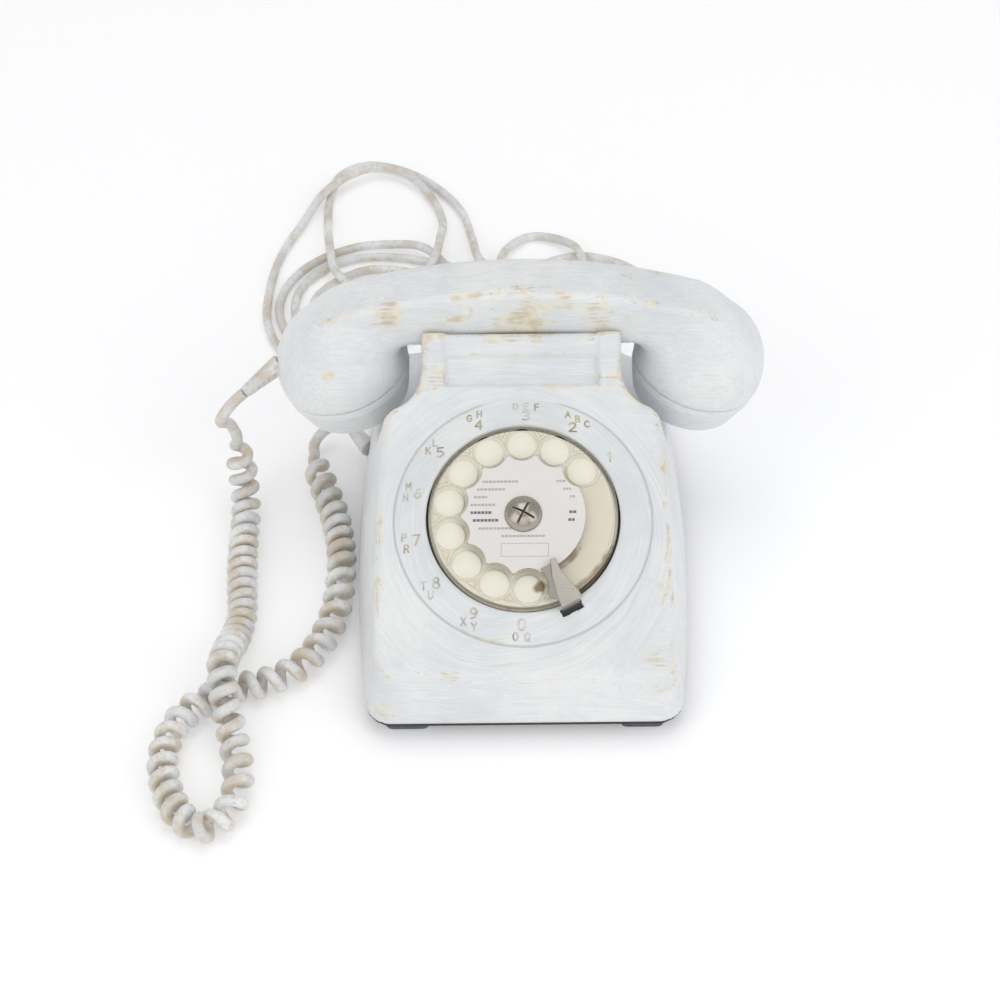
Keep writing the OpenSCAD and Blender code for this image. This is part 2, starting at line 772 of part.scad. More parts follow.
module line_relief() {
    color("gainsboro") {
        relief(relief_rear[0], relief_rear[1], 8, line_d + 0.8);
        translate(relief_rear[0] - [0, 7, 0]) rotate([-90, 0, 0]) cylinder(d = 7, h = 8);
    }
}

module line_cord() {
    color("gainsboro") tube(line_route, line_d, 8);
}

module line_plug() {
    color("gainsboro") translate([-52, 116, 12]) rotate([0, 90, 0]) {
        cylinder(d = 7, h = 10);
        translate([-11, -10, 9.9]) cube([22, 20, 30]);
    }
}

module plug_pins() {
    color("goldenrod") for (i = [0:3])
        translate([-12.1, 109 + i * 4, 8]) cube([10, 1.6, 8]);
}

body_shell();
number_ring();
base_plate();
rubber_feet();
base_screws();
dial_case();
dial_pan();
finger_wheel();
label_card();
dial_screw();
finger_stop();
main_shaft();
main_gear();
pulse_cam();
mainspring();
dial_bridge();
transfer_arbor();
transfer_gear();
governor_spindle();
governor_cup();
pulse_contacts();
hook_lever();
hook_pin();
hook_spring();
hook_contacts();
ringer_frame();
ringer_coil();
ringer_magnet();
gong_left();
gong_right();
gong_screws();
clapper();
clapper_pin();
volume_bracket();
volume_wheel();
circuit_board();
board_posts();
induction_coil();
capacitors();
terminal_block();
handset_shell();
earpiece_cap();
mouthpiece_cap();
receiver_capsule();
transmitter_capsule();
handset_wires();
handset_relief();
handset_cord_top();
handset_cord_coil();
handset_cord_tail();
body_relief();
line_relief();
line_cord();
line_plug();
plug_pins();
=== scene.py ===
"""Rotary desk telephone: the looks of the object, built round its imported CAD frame.

Shapes are worked out in millimetres by small distance fields (negative inside) that one
mesher turns into smooth surfaces, and are written to Blender in metres.
"""

import math

import bpy
import numpy as np
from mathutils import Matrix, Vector


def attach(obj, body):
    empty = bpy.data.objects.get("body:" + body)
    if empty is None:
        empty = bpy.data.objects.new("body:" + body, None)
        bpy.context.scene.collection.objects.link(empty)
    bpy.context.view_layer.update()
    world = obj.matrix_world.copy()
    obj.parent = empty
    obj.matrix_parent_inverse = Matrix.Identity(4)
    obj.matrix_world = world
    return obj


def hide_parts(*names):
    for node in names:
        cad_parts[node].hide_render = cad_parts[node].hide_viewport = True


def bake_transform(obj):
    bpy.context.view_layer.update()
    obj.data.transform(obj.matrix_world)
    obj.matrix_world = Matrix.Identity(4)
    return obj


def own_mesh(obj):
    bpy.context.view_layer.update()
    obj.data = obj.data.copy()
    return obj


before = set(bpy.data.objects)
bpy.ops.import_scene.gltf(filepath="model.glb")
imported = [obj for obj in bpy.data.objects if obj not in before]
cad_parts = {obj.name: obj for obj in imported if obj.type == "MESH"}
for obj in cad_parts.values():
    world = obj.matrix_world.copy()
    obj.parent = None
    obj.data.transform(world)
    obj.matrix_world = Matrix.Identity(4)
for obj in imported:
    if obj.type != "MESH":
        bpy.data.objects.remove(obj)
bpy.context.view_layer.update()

MM = 0.001

# Body, in millimetres and degrees
RIM_Z = 9.5
WALL = 2.6
HALF_WIDTH = 77.5
SHOULDER, DECK_FRONT, DECK_REAR, REAR_LOW = (15.5, 91.4), (27, 56), (95.5, 47), (102.5, RIM_Z)
POST_X, POSTS_Y = 52, (-74, 66)
FOOT_X, FEET_Y = 53, (-89.5, 82.5)
FRONT_LOW, RIDGE = (-102.5, RIM_Z), (-99.0, 38.0)
SLOPE = 25.0
SIDE_LEAN = 10.5
NECK_BASE, NECK_TOP = (23.8, 95.26), (36.35, 117.0)
NECK_HALF = 45.5
RAIL_INNER = 35.0
SADDLE_FRONT, SADDLE_REAR, SADDLE_Z = 38.95, 76.0, 109.6
REAR_TOP, REAR_GAP = 116.0, 33.0
DIAL_Y, DIAL_Z = -33.565, 68.513
# Dial
HOLES = [38.3 + 26.1 * i for i in range(10)]
FIGURES = [36.3 + 25.8 * i for i in range(10)]
HOLE_R, HOLE_D = 33.6, 14.4
PAN_TOP, WHEEL_Z, CARD_TOP, STOP_Z = 5.6, 8.0, 10.7, 12.6
WHEEL_R = 42.25
FIGURE_R, FIGURE_HIGH, LETTER_R, LETTER_HIGH = 48.9, 4.6, 54.0, 3.4
SCREW_ROUND, SCREW_DROP = 11.6, 7.6
STOP_ANGLE = 297.0
# Handset
HANDLE_Y, HANDLE_Z = 53.0, 124.0
CUP_X, CUP_Z, CUP_TILT = 82.0, 80.0, 15.0
# Cords
WIRE_D = 5.4
COIL_R = 4.6
LINE_D = 4.6

# Routes of the cords, in millimetres
TOP_ROUTE = [(-129.5, 42.8, 74.7), (-135, 41, 70), (-140, 40, 63), (-142, 42, 56), (-138.5, 46, 51),
             (-136, 46, 44)]
COIL_ROUTE = [
    (-136, 46, 44), (-135, 44, 30), (-134, 39, 18), (-133, 30, 10), (-133, 16, 7.5), (-133, 0, 7.5),
    (-132, -20, 7.5), (-131, -36, 7.5), (-133, -52, 10), (-135, -66, 18), (-136, -81, 23.6),
    (-134, -96, 18), (-131, -107, 10), (-128, -120, 7.5), (-127, -136, 7.5), (-132, -150, 7.5),
    (-142, -156, 7.5), (-152, -148, 7.5), (-159, -132, 7.5), (-161, -116, 7.5), (-157, -100, 7.5),
    (-147, -88, 7.5), (-133, -80, 7.5), (-118, -76, 7.5), (-104, -68, 7.5), (-94, -54, 7.5),
    (-88, -37, 7.5), (-86, -18, 7.5), (-86, 0, 7.5), (-89, 20, 7.5), (-94, 38, 7.5), (-99, 54, 7.5),
    (-102, 68, 7.5)]
TAIL_ROUTE = [(-102, 68, 7.5), (-102, 73, 8), (-99, 78, 9.5), (-94, 81, 11.5), (-88, 80, 13.5),
              (-83, 76, 15)]
LINE_ROUTE = [
    (30, 126, 9), (32, 140, 5), (38, 160, 2.4), (52, 178, 2.4), (64, 190, 2.4), (62, 203, 2.4),
    (48, 212, 2.4), (32, 215, 2.4), (16, 210, 2.4), (0, 200, 2.4), (-20, 203, 2.4), (-40, 209, 2.4),
    (-62, 215, 2.4), (-84, 215, 2.4), (-103, 206, 2.4), (-115, 190, 2.4), (-116, 170, 2.4),
    (-106, 152, 2.4), (-86, 141, 2.4), (-62, 138, 2.4), (-38, 143, 2.4), (-20, 158, 2.4),
    (-12, 180, 4), (-10, 200, 7.6), (-5, 220, 4), (8, 231, 2.4), (24, 226, 4), (33, 213, 7.6),
    (36, 195, 4), (28, 176, 2.4), (10, 166, 4), (-12, 168, 9.2), (-28, 176, 4.6), (-42, 190, 4),
    (-58, 203, 3), (-78, 206, 2.4), (-94, 198, 2.4), (-106, 184, 2.4), (-107, 168, 2.4),
    (-97, 155, 2.4), (-78, 149, 2.4), (-58, 152, 2.4), (-42, 164, 4), (-34, 181, 9.6),
    (-38, 202, 8), (-50, 218, 7), (-66, 224, 4), (-88, 223, 2.4), (-110, 210, 2.4),
    (-123, 190, 2.4), (-124, 168, 2.4), (-112, 146, 2.4), (-88, 134, 2.4), (-62, 131, 2.4),
    (-34, 136, 2.4), (-8, 150, 6), (0, 168, 12.6), (-8, 190, 13), (-20, 206, 9), (-24, 228, 4),
    (-30, 252, 2.4), (-44, 272, 2.4), (-62, 286, 2.4), (-82, 291, 2.4), (-97, 282, 2.4),
    (-102, 262, 2.4), (-102, 240, 4), (-100, 218, 8), (-96, 198, 8.6), (-84, 190, 5),
    (-68, 192, 4), (-54, 192, 8), (-44, 202, 13.4), (-41, 221, 11), (-40, 242, 4), (-46, 262, 3),
    (-58, 277, 6), (-73, 284, 7.2), (-90, 278, 7.4), (-105, 262, 7.4), (-116, 242, 3),
    (-126, 218, 2.4), (-131, 190, 2.4), (-130, 162, 2.4), (-116, 134, 2.4), (-94, 120, 5),
    (-74, 116, 9), (-52, 116, 12)]
RELIEF_TOP = ((-112, 50, 87), (-129, 43, 75))
RELIEF_SIDE = ((-74, 60, 18), (-83, 76, 15))
RELIEF_REAR = ((30, 101.5, 17), (30, 126, 9))
PLUG_X, PLUG_Y, PLUG_Z = -27, 116, 12


def sin(degrees):
    return math.sin(math.radians(degrees))


def cos(degrees):
    return math.cos(math.radians(degrees))


def tan(degrees):
    return math.tan(math.radians(degrees))


def show(name, data):
    """A new object in the scene that holds the data."""
    obj = bpy.data.objects.new(name, data)
    bpy.context.scene.collection.objects.link(obj)
    return obj


def look_at(obj, target):
    obj.rotation_euler = (Vector(target) - obj.location).to_track_quat("-Z", "Y").to_euler()


# ---------------------------------------------------------------- camera

def make_camera():
    azimuth, elevation, distance = -0.74, 48.0, 1.15
    offset = Vector((sin(azimuth) * cos(elevation), -cos(azimuth) * cos(elevation), sin(elevation)))
    camera = show("camera", bpy.data.cameras.new("camera"))
    camera.data.lens = 89.8
    camera.data.sensor_width = 36
    camera.data.clip_end = 20
    camera.data.shift_x = -0.0225
    camera.data.shift_y = 0.0095
    target = Vector((0, -0.010, 0.050))
    camera.location = target + offset * distance
    look_at(camera, target)
    bpy.context.scene.camera = camera


# ---------------------------------------------------------------- fields

def rounded_max(a, b, r):
    """Intersection of two fields, with an edge of radius r."""
    return np.minimum(np.maximum(a, b), -r) + np.hypot(np.maximum(a + r, 0), np.maximum(b + r, 0))


def rounded_min(a, b, r):
    """Union of two fields, with a fillet of radius r."""
    return -rounded_max(-a, -b, r)


def overlap(*fields):
    """Intersection of fields, with sharp edges."""
    result = fields[0]
    for field in fields[1:]:
        result = np.maximum(result, field)
    return result


def smooth_min(a, b, k):
    """Union of two fields that flows over a width of about k."""
    h = np.clip(0.5 + 0.5 * (b - a) / k, 0, 1)
    return b + (a - b) * h - k * h * (1 - h)


def left_of(u, v, p, q):
    """Distance from the line through p and q, positive on the left of the way from p to q."""
    du, dv = q[0] - p[0], q[1] - p[1]
    return ((v - p[1]) * du - (u - p[0]) * dv) / math.hypot(du, dv)


def from_stretch(x, y, p, q):
    """Distance from the straight stretch between p and q."""
    du, dv = q[0] - p[0], q[1] - p[1]
    t = np.clip(((x - p[0]) * du + (y - p[1]) * dv) / max(du * du + dv * dv, 1e-9), 0, 1)
    return np.hypot(x - p[0] - du * t, y - p[1] - dv * t)


def hole_distances(x, y):
    """Distance from the middle of each finger hole, in the dial's frame."""
    return [np.hypot(x - HOLE_R * cos(a), y - HOLE_R * sin(a)) for a in HOLES]


def step_up(t):
    """0 below 0 and 1 above 1, with a smooth rise between."""
    t = np.clip(t, 0, 1)
    return t * t * (3 - 2 * t)


def near(x, y, z, centre, radius):
    """1 at the centre, falling smoothly to 0 at the radius."""
    away = np.sqrt((x - centre[0]) ** 2 + (y - centre[1]) ** 2 + (z - centre[2]) ** 2)
    return step_up(1 - away / radius)


# ---------------------------------------------------------------- mesher

CORNERS = [(i, j, k) for i in (0, 1) for j in (0, 1) for k in (0, 1)]
EDGES = [(a, b) for a in range(8) for b in range(a + 1, 8)
         if sum(abs(CORNERS[a][n] - CORNERS[b][n]) for n in range(3)) == 1]


def net(field, low, high, step):
    """Points and quads of the surface field(x, y, z) = 0, moved onto it."""
    axes = [np.arange(low[n] - step, high[n] + 2 * step, step) for n in range(3)]
    value = field(*np.meshgrid(*axes, indexing="ij")).astype(np.float32)
    inside = value < 0
    size = [s - 1 for s in value.shape]
    part = [inside[i:i + size[0], j:j + size[1], k:k + size[2]] for i, j, k in CORNERS]
    count = sum(p.astype(np.int8) for p in part)
    cells = np.argwhere((count > 0) & (count < 8))
    number = np.full(size, -1, np.int64)
    number[tuple(cells.T)] = np.arange(len(cells))
    total = np.zeros((len(cells), 3))
    crossings = np.zeros(len(cells))
    at = [value[tuple((cells + c).T)] for c in CORNERS]
    for a, b in EDGES:
        cut = (at[a] < 0) != (at[b] < 0)
        share = np.where(cut, at[a] / np.where(cut, at[a] - at[b], 1), 0)
        place = np.array(CORNERS[a]) + share[:, None] * (np.array(CORNERS[b]) - CORNERS[a])
        total += np.where(cut[:, None], place, 0)
        crossings += cut
    origin = np.array([a[0] for a in axes])
    points = origin + (cells + total / crossings[:, None]) * step
    quads = []
    for n in range(3):
        o, p = (n + 1) % 3, (n + 2) % 3
        ahead = [slice(None)] * 3
        behind = [slice(None)] * 3
        ahead[n], behind[n] = slice(1, None), slice(None, -1)
        first, second = inside[tuple(behind)], inside[tuple(ahead)]
        found = np.argwhere(first != second)
        found = found[(found[:, o] > 0) & (found[:, p] > 0)
                      & (found[:, o] < size[o]) & (found[:, p] < size[p])]
        corners = []
        for back_o, back_p in ((0, 0), (1, 0), (1, 1), (0, 1)):
            cell = found.copy()
            cell[:, o] -= back_o
            cell[:, p] -= back_p
            corners.append(number[tuple(cell.T)])
        quad = np.stack(corners, 1)
        out = first[tuple(found.T)]
        quad[~out] = quad[~out][:, ::-1]
        quads.append(quad)
    quads = np.concatenate(quads)
    for _ in range(3):
        slope = gradient(field, points, 0.05 * step)
        distance = field(*points.T)
        move = distance / np.maximum((slope ** 2).sum(1), 0.2)
        points -= slope * np.clip(move, -0.4 * step, 0.4 * step)[:, None]
    return points, quads


def gradient(field, points, h):
    """Slope of the field at each point."""
    slope = np.zeros_like(points)
    for n in range(3):
        shift = np.zeros(3)
        shift[n] = h
        slope[:, n] = (field(*(points + shift).T) - field(*(points - shift).T)) / (2 * h)
    return slope


def roundness(field, points, h=2.0):
    """How convex the surface is at each point, in 1/mm."""
    total = -6 * field(*points.T)
    for n in range(3):
        for sign in (-h, h):
            shift = np.zeros(3)
            shift[n] = sign
            total += field(*(points + shift).T)
    return total / h ** 2


def woven(rows, columns, closed=False):
    """Quads between neighbours in a grid of points whose columns go all the way round."""
    i, k = np.meshgrid(np.arange(rows if closed else rows - 1), np.arange(columns), indexing="ij")
    after_i, after_k = (i + 1) % rows, (k + 1) % columns
    quads = [i * columns + k, after_i * columns + k, after_i * columns + after_k, i * columns + after_k]
    return np.stack(quads, -1).reshape(-1, 4)


def make_mesh(name, points, faces, marks=None, smooth=True):
    """A mesh object from points in millimetres, with one number per point for each mark."""
    mesh = bpy.data.meshes.new(name)
    mesh.from_pydata((np.asarray(points) * MM).tolist(), [], np.asarray(faces).tolist()
                     if isinstance(faces, np.ndarray) else faces)
    mesh.validate()
    for mark, values in (marks or {}).items():
        layer = mesh.attributes.new(mark, "FLOAT", "POINT")
        layer.data.foreach_set("value", np.asarray(values, np.float32))
    if smooth:
        mesh.polygons.foreach_set("use_smooth", np.ones(len(mesh.polygons), bool))
    return show(name, mesh)


def same(points):
    return points


def in_dial(x, y, z):
    """Row frame to the dial's own frame."""
    s, c = sin(SLOPE), cos(SLOPE)
    return x, (y - DIAL_Y) * c + (z - DIAL_Z) * s, (z - DIAL_Z) * c - (y - DIAL_Y) * s


def from_dial(points):
    """Points in the dial's own frame to the row frame."""
    s, c = sin(SLOPE), cos(SLOPE)
    x, y, z = np.asarray(points, float).T
    return np.stack([x, DIAL_Y + y * c - z * s, DIAL_Z + y * s + z * c], 1)


def in_cup(x, y, z, side):
    """Row frame to the frame of the handset's end on that side."""
    s, c = sin(side * CUP_TILT), cos(side * CUP_TILT)
    dx, dz = x - side * CUP_X, z - CUP_Z
    return c * dx - s * dz, y - HANDLE_Y, s * dx + c * dz


def from_cup(side):
    """Places points drawn in the frame of the handset's end on that side."""
    s, c = sin(side * CUP_TILT), cos(side * CUP_TILT)

    def place(points):
        x, y, z = np.asarray(points, float).T
        return np.stack([side * CUP_X + c * x + s * z, HANDLE_Y + y, CUP_Z - s * x + c * z], 1)
    return place


def along(start, end):
    """Places points drawn along +Z from the origin on the way from start to end."""
    way = Vector(end) - Vector(start)
    turn = np.array(way.to_track_quat("Z", "Y").to_matrix())

    def place(points):
        return np.asarray(points, float) @ turn.T + np.array(start, float)
    return place


def sculpt(name, field, low, high, step, place=same, marks=None):
    """A piece from a field, with its marks worked out at each point."""
    points, quads = net(field, low, high, step)
    values = {mark: rule(points) for mark, rule in (marks or {}).items()}
    return make_mesh(name, place(points), quads, values)


# ---------------------------------------------------------------- shapes

def half_width(y):
    """Half the body's width at its foot, widest a little behind the middle."""
    return HALF_WIDTH - 6.5 * ((y - 5) / 104) ** 2


def body_outline(x, y, z):
    """Outer form of the body: a wide wedge with bowed, leaning sides, flowing into the neck."""
    ax = abs(x)
    front = left_of(y, z, FRONT_LOW, RIDGE)
    slope = left_of(y, z, RIDGE, NECK_BASE)
    neck_front = left_of(y, z, NECK_BASE, NECK_TOP)
    shoulder = left_of(y, z, SHOULDER, DECK_FRONT)
    deck = left_of(y, z, DECK_FRONT, DECK_REAR)
    rear = left_of(y, z, DECK_REAR, REAR_LOW)
    neck_rear = left_of(y, z, (85, REAR_TOP), (93.5, 40))
    side = (ax - half_width(y) + (z - RIM_Z) * tan(SIDE_LEAN)) * cos(SIDE_LEAN)
    wide = rounded_max(side, rounded_min(shoulder, deck, 12), 6)
    neck = rounded_max(ax - NECK_HALF, neck_rear, 5)
    form = rounded_min(wide, neck, 18)
    form = rounded_max(form, rounded_min(slope, neck_front, 7), 3.5)
    top = NECK_TOP[1] - (NECK_TOP[1] - REAR_TOP) * step_up((y - 48) / 24)
    form = rounded_max(form, z - top + 1.2 * step_up((RAIL_INNER + 1.5 - ax) / 3), 2)
    form = rounded_max(form, front, 3.5)
    form = np.maximum(form, rounded_max(side, front, 10))
    form = rounded_max(form, rear, 8)
    # Panel between the rails, and the label recess in it
    up = (y - NECK_BASE[0]) * cos(60) + (z - NECK_BASE[1]) * sin(60)
    panel = overlap(ax - RAIL_INNER, -1.0 - neck_front, 1.5 - up)
    form = rounded_max(form, -panel, 0.7)
    label = overlap(ax - RAIL_INNER + 1, -2.2 - neck_front, abs(up - 8.2) - 6.4)
    form = rounded_max(form, -label, 0.6)
    saddle = overlap(SADDLE_FRONT - y, y - SADDLE_REAR, SADDLE_Z - z)
    form = rounded_max(form, -saddle, 1.2)
    gap = overlap(ax - REAR_GAP, SADDLE_REAR - 2 - y, SADDLE_Z + 0.5 - z)
    return rounded_max(form, -gap, 1.6)


def body_field(x, y, z):
    """The body's wall, with its screw posts and the openings for the dial, the hook and the cords."""
    form = body_outline(x, y, z)
    ax = abs(x)
    shell = np.maximum(form, -(form + WALL))
    for post_y in POSTS_Y:
        away = np.hypot(ax - POST_X, y - post_y)
        post = np.maximum(away - 3.5, form + 1)
        bore = np.maximum(away - 1.4, z - RIM_Z - 15)
        shell = np.minimum(shell, np.maximum(post, -bore))
    shell = rounded_max(shell, RIM_Z - z, 0.6)
    dx, dy, dz = in_dial(x, y, z)
    seat = np.maximum(np.hypot(dx, dy) - 46.5, abs(dz) - 20)
    shell = np.maximum(shell, -seat)
    ears = overlap(abs(ax - 42.5) - 8.5, abs(y - 46.5) - 4.5, abs(z - 106) - 8)
    shell = np.maximum(shell, -ears)
    side_hole = np.maximum(np.hypot(y - RELIEF_SIDE[0][1], z - RELIEF_SIDE[0][2]) - 4.1, x + 50)
    rear_hole = np.maximum(np.hypot(x - RELIEF_REAR[0][0], z - RELIEF_REAR[0][2]) - 4.15, 85 - y)
    return np.maximum(shell, -np.minimum(side_hole, rear_hole))


def handset_outline(x, y, z):
    """Outer form of the handset: a drooping handle that flows into two tilted, domed ends."""
    ax = abs(x)
    lean = np.sqrt(1 + (0.0044 * x) ** 2)
    v = (z - (HANDLE_Z - 0.0022 * x ** 2)) / lean
    u = y - HANDLE_Y - 1
    front = -u - 13.6 + 0.03 * v
    back = u - 13.6 + 0.08 * v
    handle = rounded_max(rounded_max(front, v - 14, 3), back, 4)
    handle = rounded_max(handle, -v - 13.6, 6)
    handle = rounded_max(handle, ax - 98, 18)
    cx, cy, cz = in_cup(ax, y, z, 1)
    reach = np.sqrt((cx / 30.8) ** 2 + (cy / 30.4) ** 2 + ((cz - 3) / 33.5) ** 2)
    bend = np.sqrt((cx / 30.8 ** 2) ** 2 + (cy / 30.4 ** 2) ** 2 + ((cz - 3) / 33.5 ** 2) ** 2)
    dome = reach * (reach - 1) / np.maximum(bend, 1e-6)
    return smooth_min(handle, dome, 10)


def handset_field(x, y, z):
    """The handset's wall, open where the caps screw on."""
    form = handset_outline(x, y, z)
    shell = np.maximum(form, -(form + 3))
    return rounded_max(shell, 0.25 - in_cup(abs(x), y, z, 1)[2], 0.7)


def cap_field(x, y, z):
    """A screwed-on cap in its own frame: a tapering cup with a ring of sound holes."""
    r = np.hypot(x, y)
    wall = np.maximum((r - 30) * 0.97, (r - 24.8 - (z + 20) * 0.32) * 0.95)
    face = -20 - z + 0.9 * step_up(1 - r / 18)
    cap = rounded_max(rounded_max(wall, face, 4), z + 0.15, 0.6)
    cap = np.maximum(cap, -np.maximum(r - 22, -17.2 - z))
    angle = np.arctan2(y, x)
    turn = (angle + math.pi / 8) % (math.pi / 4) - math.pi / 8
    for ring in (7, 13):
        hole = np.hypot(r * np.cos(turn) - ring, r * np.sin(turn)) - 1.25
        cap = rounded_max(cap, -np.maximum(hole, z + 15), 0.3)
    return rounded_max(cap, -np.maximum(r - 1.25, z + 15), 0.3)


def pan_field(x, y, z):
    """The pan: a flat flange, and a hollow raised part with a pale disc under each hole."""
    r = np.hypot(x, y)
    flange = rounded_max(r - 43.2, abs(z + 0.3) - 0.7, 0.3)
    raised = rounded_max(np.maximum(r - 41.2, -1 - z), z - PAN_TOP, 1.2)
    plate = rounded_min(flange, raised, 0.6)
    for away in hole_distances(x, y):
        disc = np.maximum(away - 6.6, abs(z - PAN_TOP - 0.1) - 0.5)
        plate = rounded_min(plate, disc, 0.25)
    plate = np.maximum(plate, -np.maximum(r - 39.5, z - PAN_TOP + 1.4))
    return np.maximum(plate, 6.5 - r)


def wheel_field(x, y, z):
    """The clear wheel, with a raised lip at its edge and raised rims round its holes."""
    r = np.hypot(x, y)
    middle = WHEEL_Z + 1.1
    plate = rounded_max(r - WHEEL_R, abs(z - middle) - 1.1, 0.5)
    lip = rounded_max(abs(r - WHEEL_R + 1) - 0.9, abs(z - middle - 0.5) - 1.1, 0.4)
    wheel = np.minimum(plate, lip)
    bores = np.full_like(r, 99.0)
    for away in hole_distances(x, y):
        rim = rounded_max(abs(away - 7.9) - 0.7, abs(z - middle - 0.5) - 1.2, 0.45)
        wheel = np.minimum(wheel, rim)
        bores = np.minimum(bores, away - HOLE_D / 2)
    wheel = rounded_max(wheel, -bores, 0.4)
    return np.maximum(wheel, 2.05 - r)


def polygon_distance(x, y, corners):
    """Distance from a closed outline, negative inside."""
    best = np.full(x.shape, 1e9)
    sign = np.ones(x.shape)
    for a, b in zip(corners, corners[1:] + corners[:1]):
        best = np.minimum(best, from_stretch(x, y, a, b))
        over = (a[1] > y) != (b[1] > y)
        rise = b[1] - a[1] or 1e-9
        cross = over & (x < a[0] + (y - a[1]) * (b[0] - a[0]) / rise)
        sign = np.where(cross, -sign, sign)
    return best * sign


def stop_field(x, y, z):
    """The finger stop, drawn along +X: a flat steel bar that bends down at the ring."""
    outline = polygon_distance(x, y, [(25, 0.6), (25.3, 2.4), (31, 2.0), (37, 3.0), (42, 4.6), (46, 4.8),
                                      (46, -5.0), (42, -4.4), (32, -2.2)])
    crown = 0.012 * y ** 2
    bar = rounded_max(outline - 0.35, abs(z + crown - STOP_Z - 0.75) - 0.6, 0.35)
    wing = polygon_distance(x, y, [(26.6, 0.6), (26.8, -5.4), (29, -4.6), (32, -4.5), (35, -5.4),
                                   (38, -7.4), (40.5, -7.6), (42, -4.6), (34, -1)])
    wing = rounded_max(wing - 0.2, abs(z - STOP_Z - 0.35) - 0.35, 0.2)
    bar = np.minimum(bar, wing)
    tongue = np.maximum(abs(x - 45.6) - 0.65, abs(y + 0.2) - 4.4)
    tongue = rounded_max(tongue, abs(z - 8) - 5.4, 0.3)
    return rounded_min(bar, tongue, 0.5)


def screw_field(x, y, z):
    """The centre screw: a domed head with a cross slot, and its shank."""
    r = np.hypot(x, y)
    up = z - CARD_TOP
    dome = rounded_max(np.sqrt(r ** 2 + (up + SCREW_DROP) ** 2) - SCREW_ROUND, np.maximum(r - 8.5, -up), 0.4)
    screw = np.minimum(dome, np.maximum(r - 2, abs(z - 5.6) - 7.1))
    for a in (62, 152):
        along_slot = x * cos(a) + y * sin(a)
        across_slot = y * cos(a) - x * sin(a)
        slot = np.maximum(abs(along_slot) - 5.5, abs(across_slot) - 0.42)
        screw = rounded_max(screw, -np.maximum(slot, 2.0 - up), 0.12)
    return screw


def relief_field(length, d_start, d_end):
    """A tapered strain relief along +Z, with rows of dimples down its sides."""
    def field(x, y, z):
        t = z / length
        radius = (d_start + (d_end - d_start) * np.clip(t, 0, 1)) / 2
        r = np.sqrt(x ** 2 + y ** 2)
        body = rounded_max(r - radius, abs(z - length / 2) - length / 2, 0.7)
        for i in range(5):
            at = length * (0.22 + 0.15 * i)
            grow = (d_start + (d_end - d_start) * at / length) / 2
            for cx, cy in ((grow, 0), (-grow, 0), (0, grow), (0, -grow)):
                dimple = np.sqrt((x - cx) ** 2 + (y - cy) ** 2 + (z - at) ** 2) - 0.75
                body = rounded_max(body, -dimple, 0.2)
        return body
    return field


# ---------------------------------------------------------------- routes

def smooth_line(points, parts):
    """A smooth curve through the points, with that many steps from each to the next."""
    p = np.array(points, float)
    p = np.vstack([2 * p[0] - p[1], p, 2 * p[-1] - p[-2]])
    line = []
    for i in range(1, len(p) - 2):
        a, b, c, d = p[i - 1:i + 3]
        for k in range(parts):
            t = k / parts
            line.append(0.5 * (2 * b + (c - a) * t + (2 * a - 5 * b + 4 * c - d) * t * t
                               + (3 * b - a - 3 * c + d) * t ** 3))
    line.append(p[-2])
    return np.array(line)


def even_line(line, gap):
    """The same line with its points that far apart, and each point's way along it."""
    reach = np.r_[0, np.cumsum(np.linalg.norm(np.diff(line, axis=0), axis=1))]
    at = np.linspace(0, reach[-1], max(2, int(round(reach[-1] / gap)) + 1))
    return np.stack([np.interp(at, reach, line[:, n]) for n in range(3)], 1), at


def frames(line):
    """Directions along the line, and two across it that turn as little as they can."""
    ahead = np.gradient(line, axis=0)
    ahead /= np.linalg.norm(ahead, axis=1)[:, None]
    up = np.array([0.0, 0.0, 1.0]) if abs(ahead[0][2]) < 0.9 else np.array([1.0, 0.0, 0.0])
    across = np.zeros_like(line)
    u = up - ahead[0] * (up @ ahead[0])
    for i, t in enumerate(ahead):
        u = u - t * (u @ t)
        u /= np.linalg.norm(u)
        across[i] = u
    return ahead, across, np.cross(ahead, across)


def tube(name, line, radius, sides, axis=None):
    """A closed round tube through every point of the line, marked where it faces along the axis."""
    _, u, v = frames(line)
    angle = np.arange(sides) * 2 * math.pi / sides
    ring = (line[:, None] + radius * (np.cos(angle)[None, :, None] * u[:, None]
                                      + np.sin(angle)[None, :, None] * v[:, None]))
    walls = np.roll(woven(len(line), sides)[:, ::-1], 1, 1).tolist()
    ends = [list(range(sides))[::-1], list(range((len(line) - 1) * sides, len(line) * sides))]
    marks = None
    if axis is not None:
        facing = abs(((ring - line[:, None]) * axis[:, None]).sum(2)) / radius
        marks = {"gap": facing.ravel()}
    return make_mesh(name, ring.reshape(-1, 3), walls + ends, marks)


# Pitch of the coil along its route: where it lies loose the turns are further apart
PITCH = [(0, 16), (16, 9), (50, 7.6), (70, 7), (85, 6.3), (110, 6.4), (125, 7), (165, 7.6),
         (180, 8.4), (195, 10), (212, 11.5), (228, 10.5), (240, 8.2), (262, 8), (300, 9),
         (345, 9), (370, 10.3), (430, 10.3), (440, 8.2), (460, 7.6), (472, 9), (485, 10.3), (520, 11.5)]
TURN_PARTS = 22


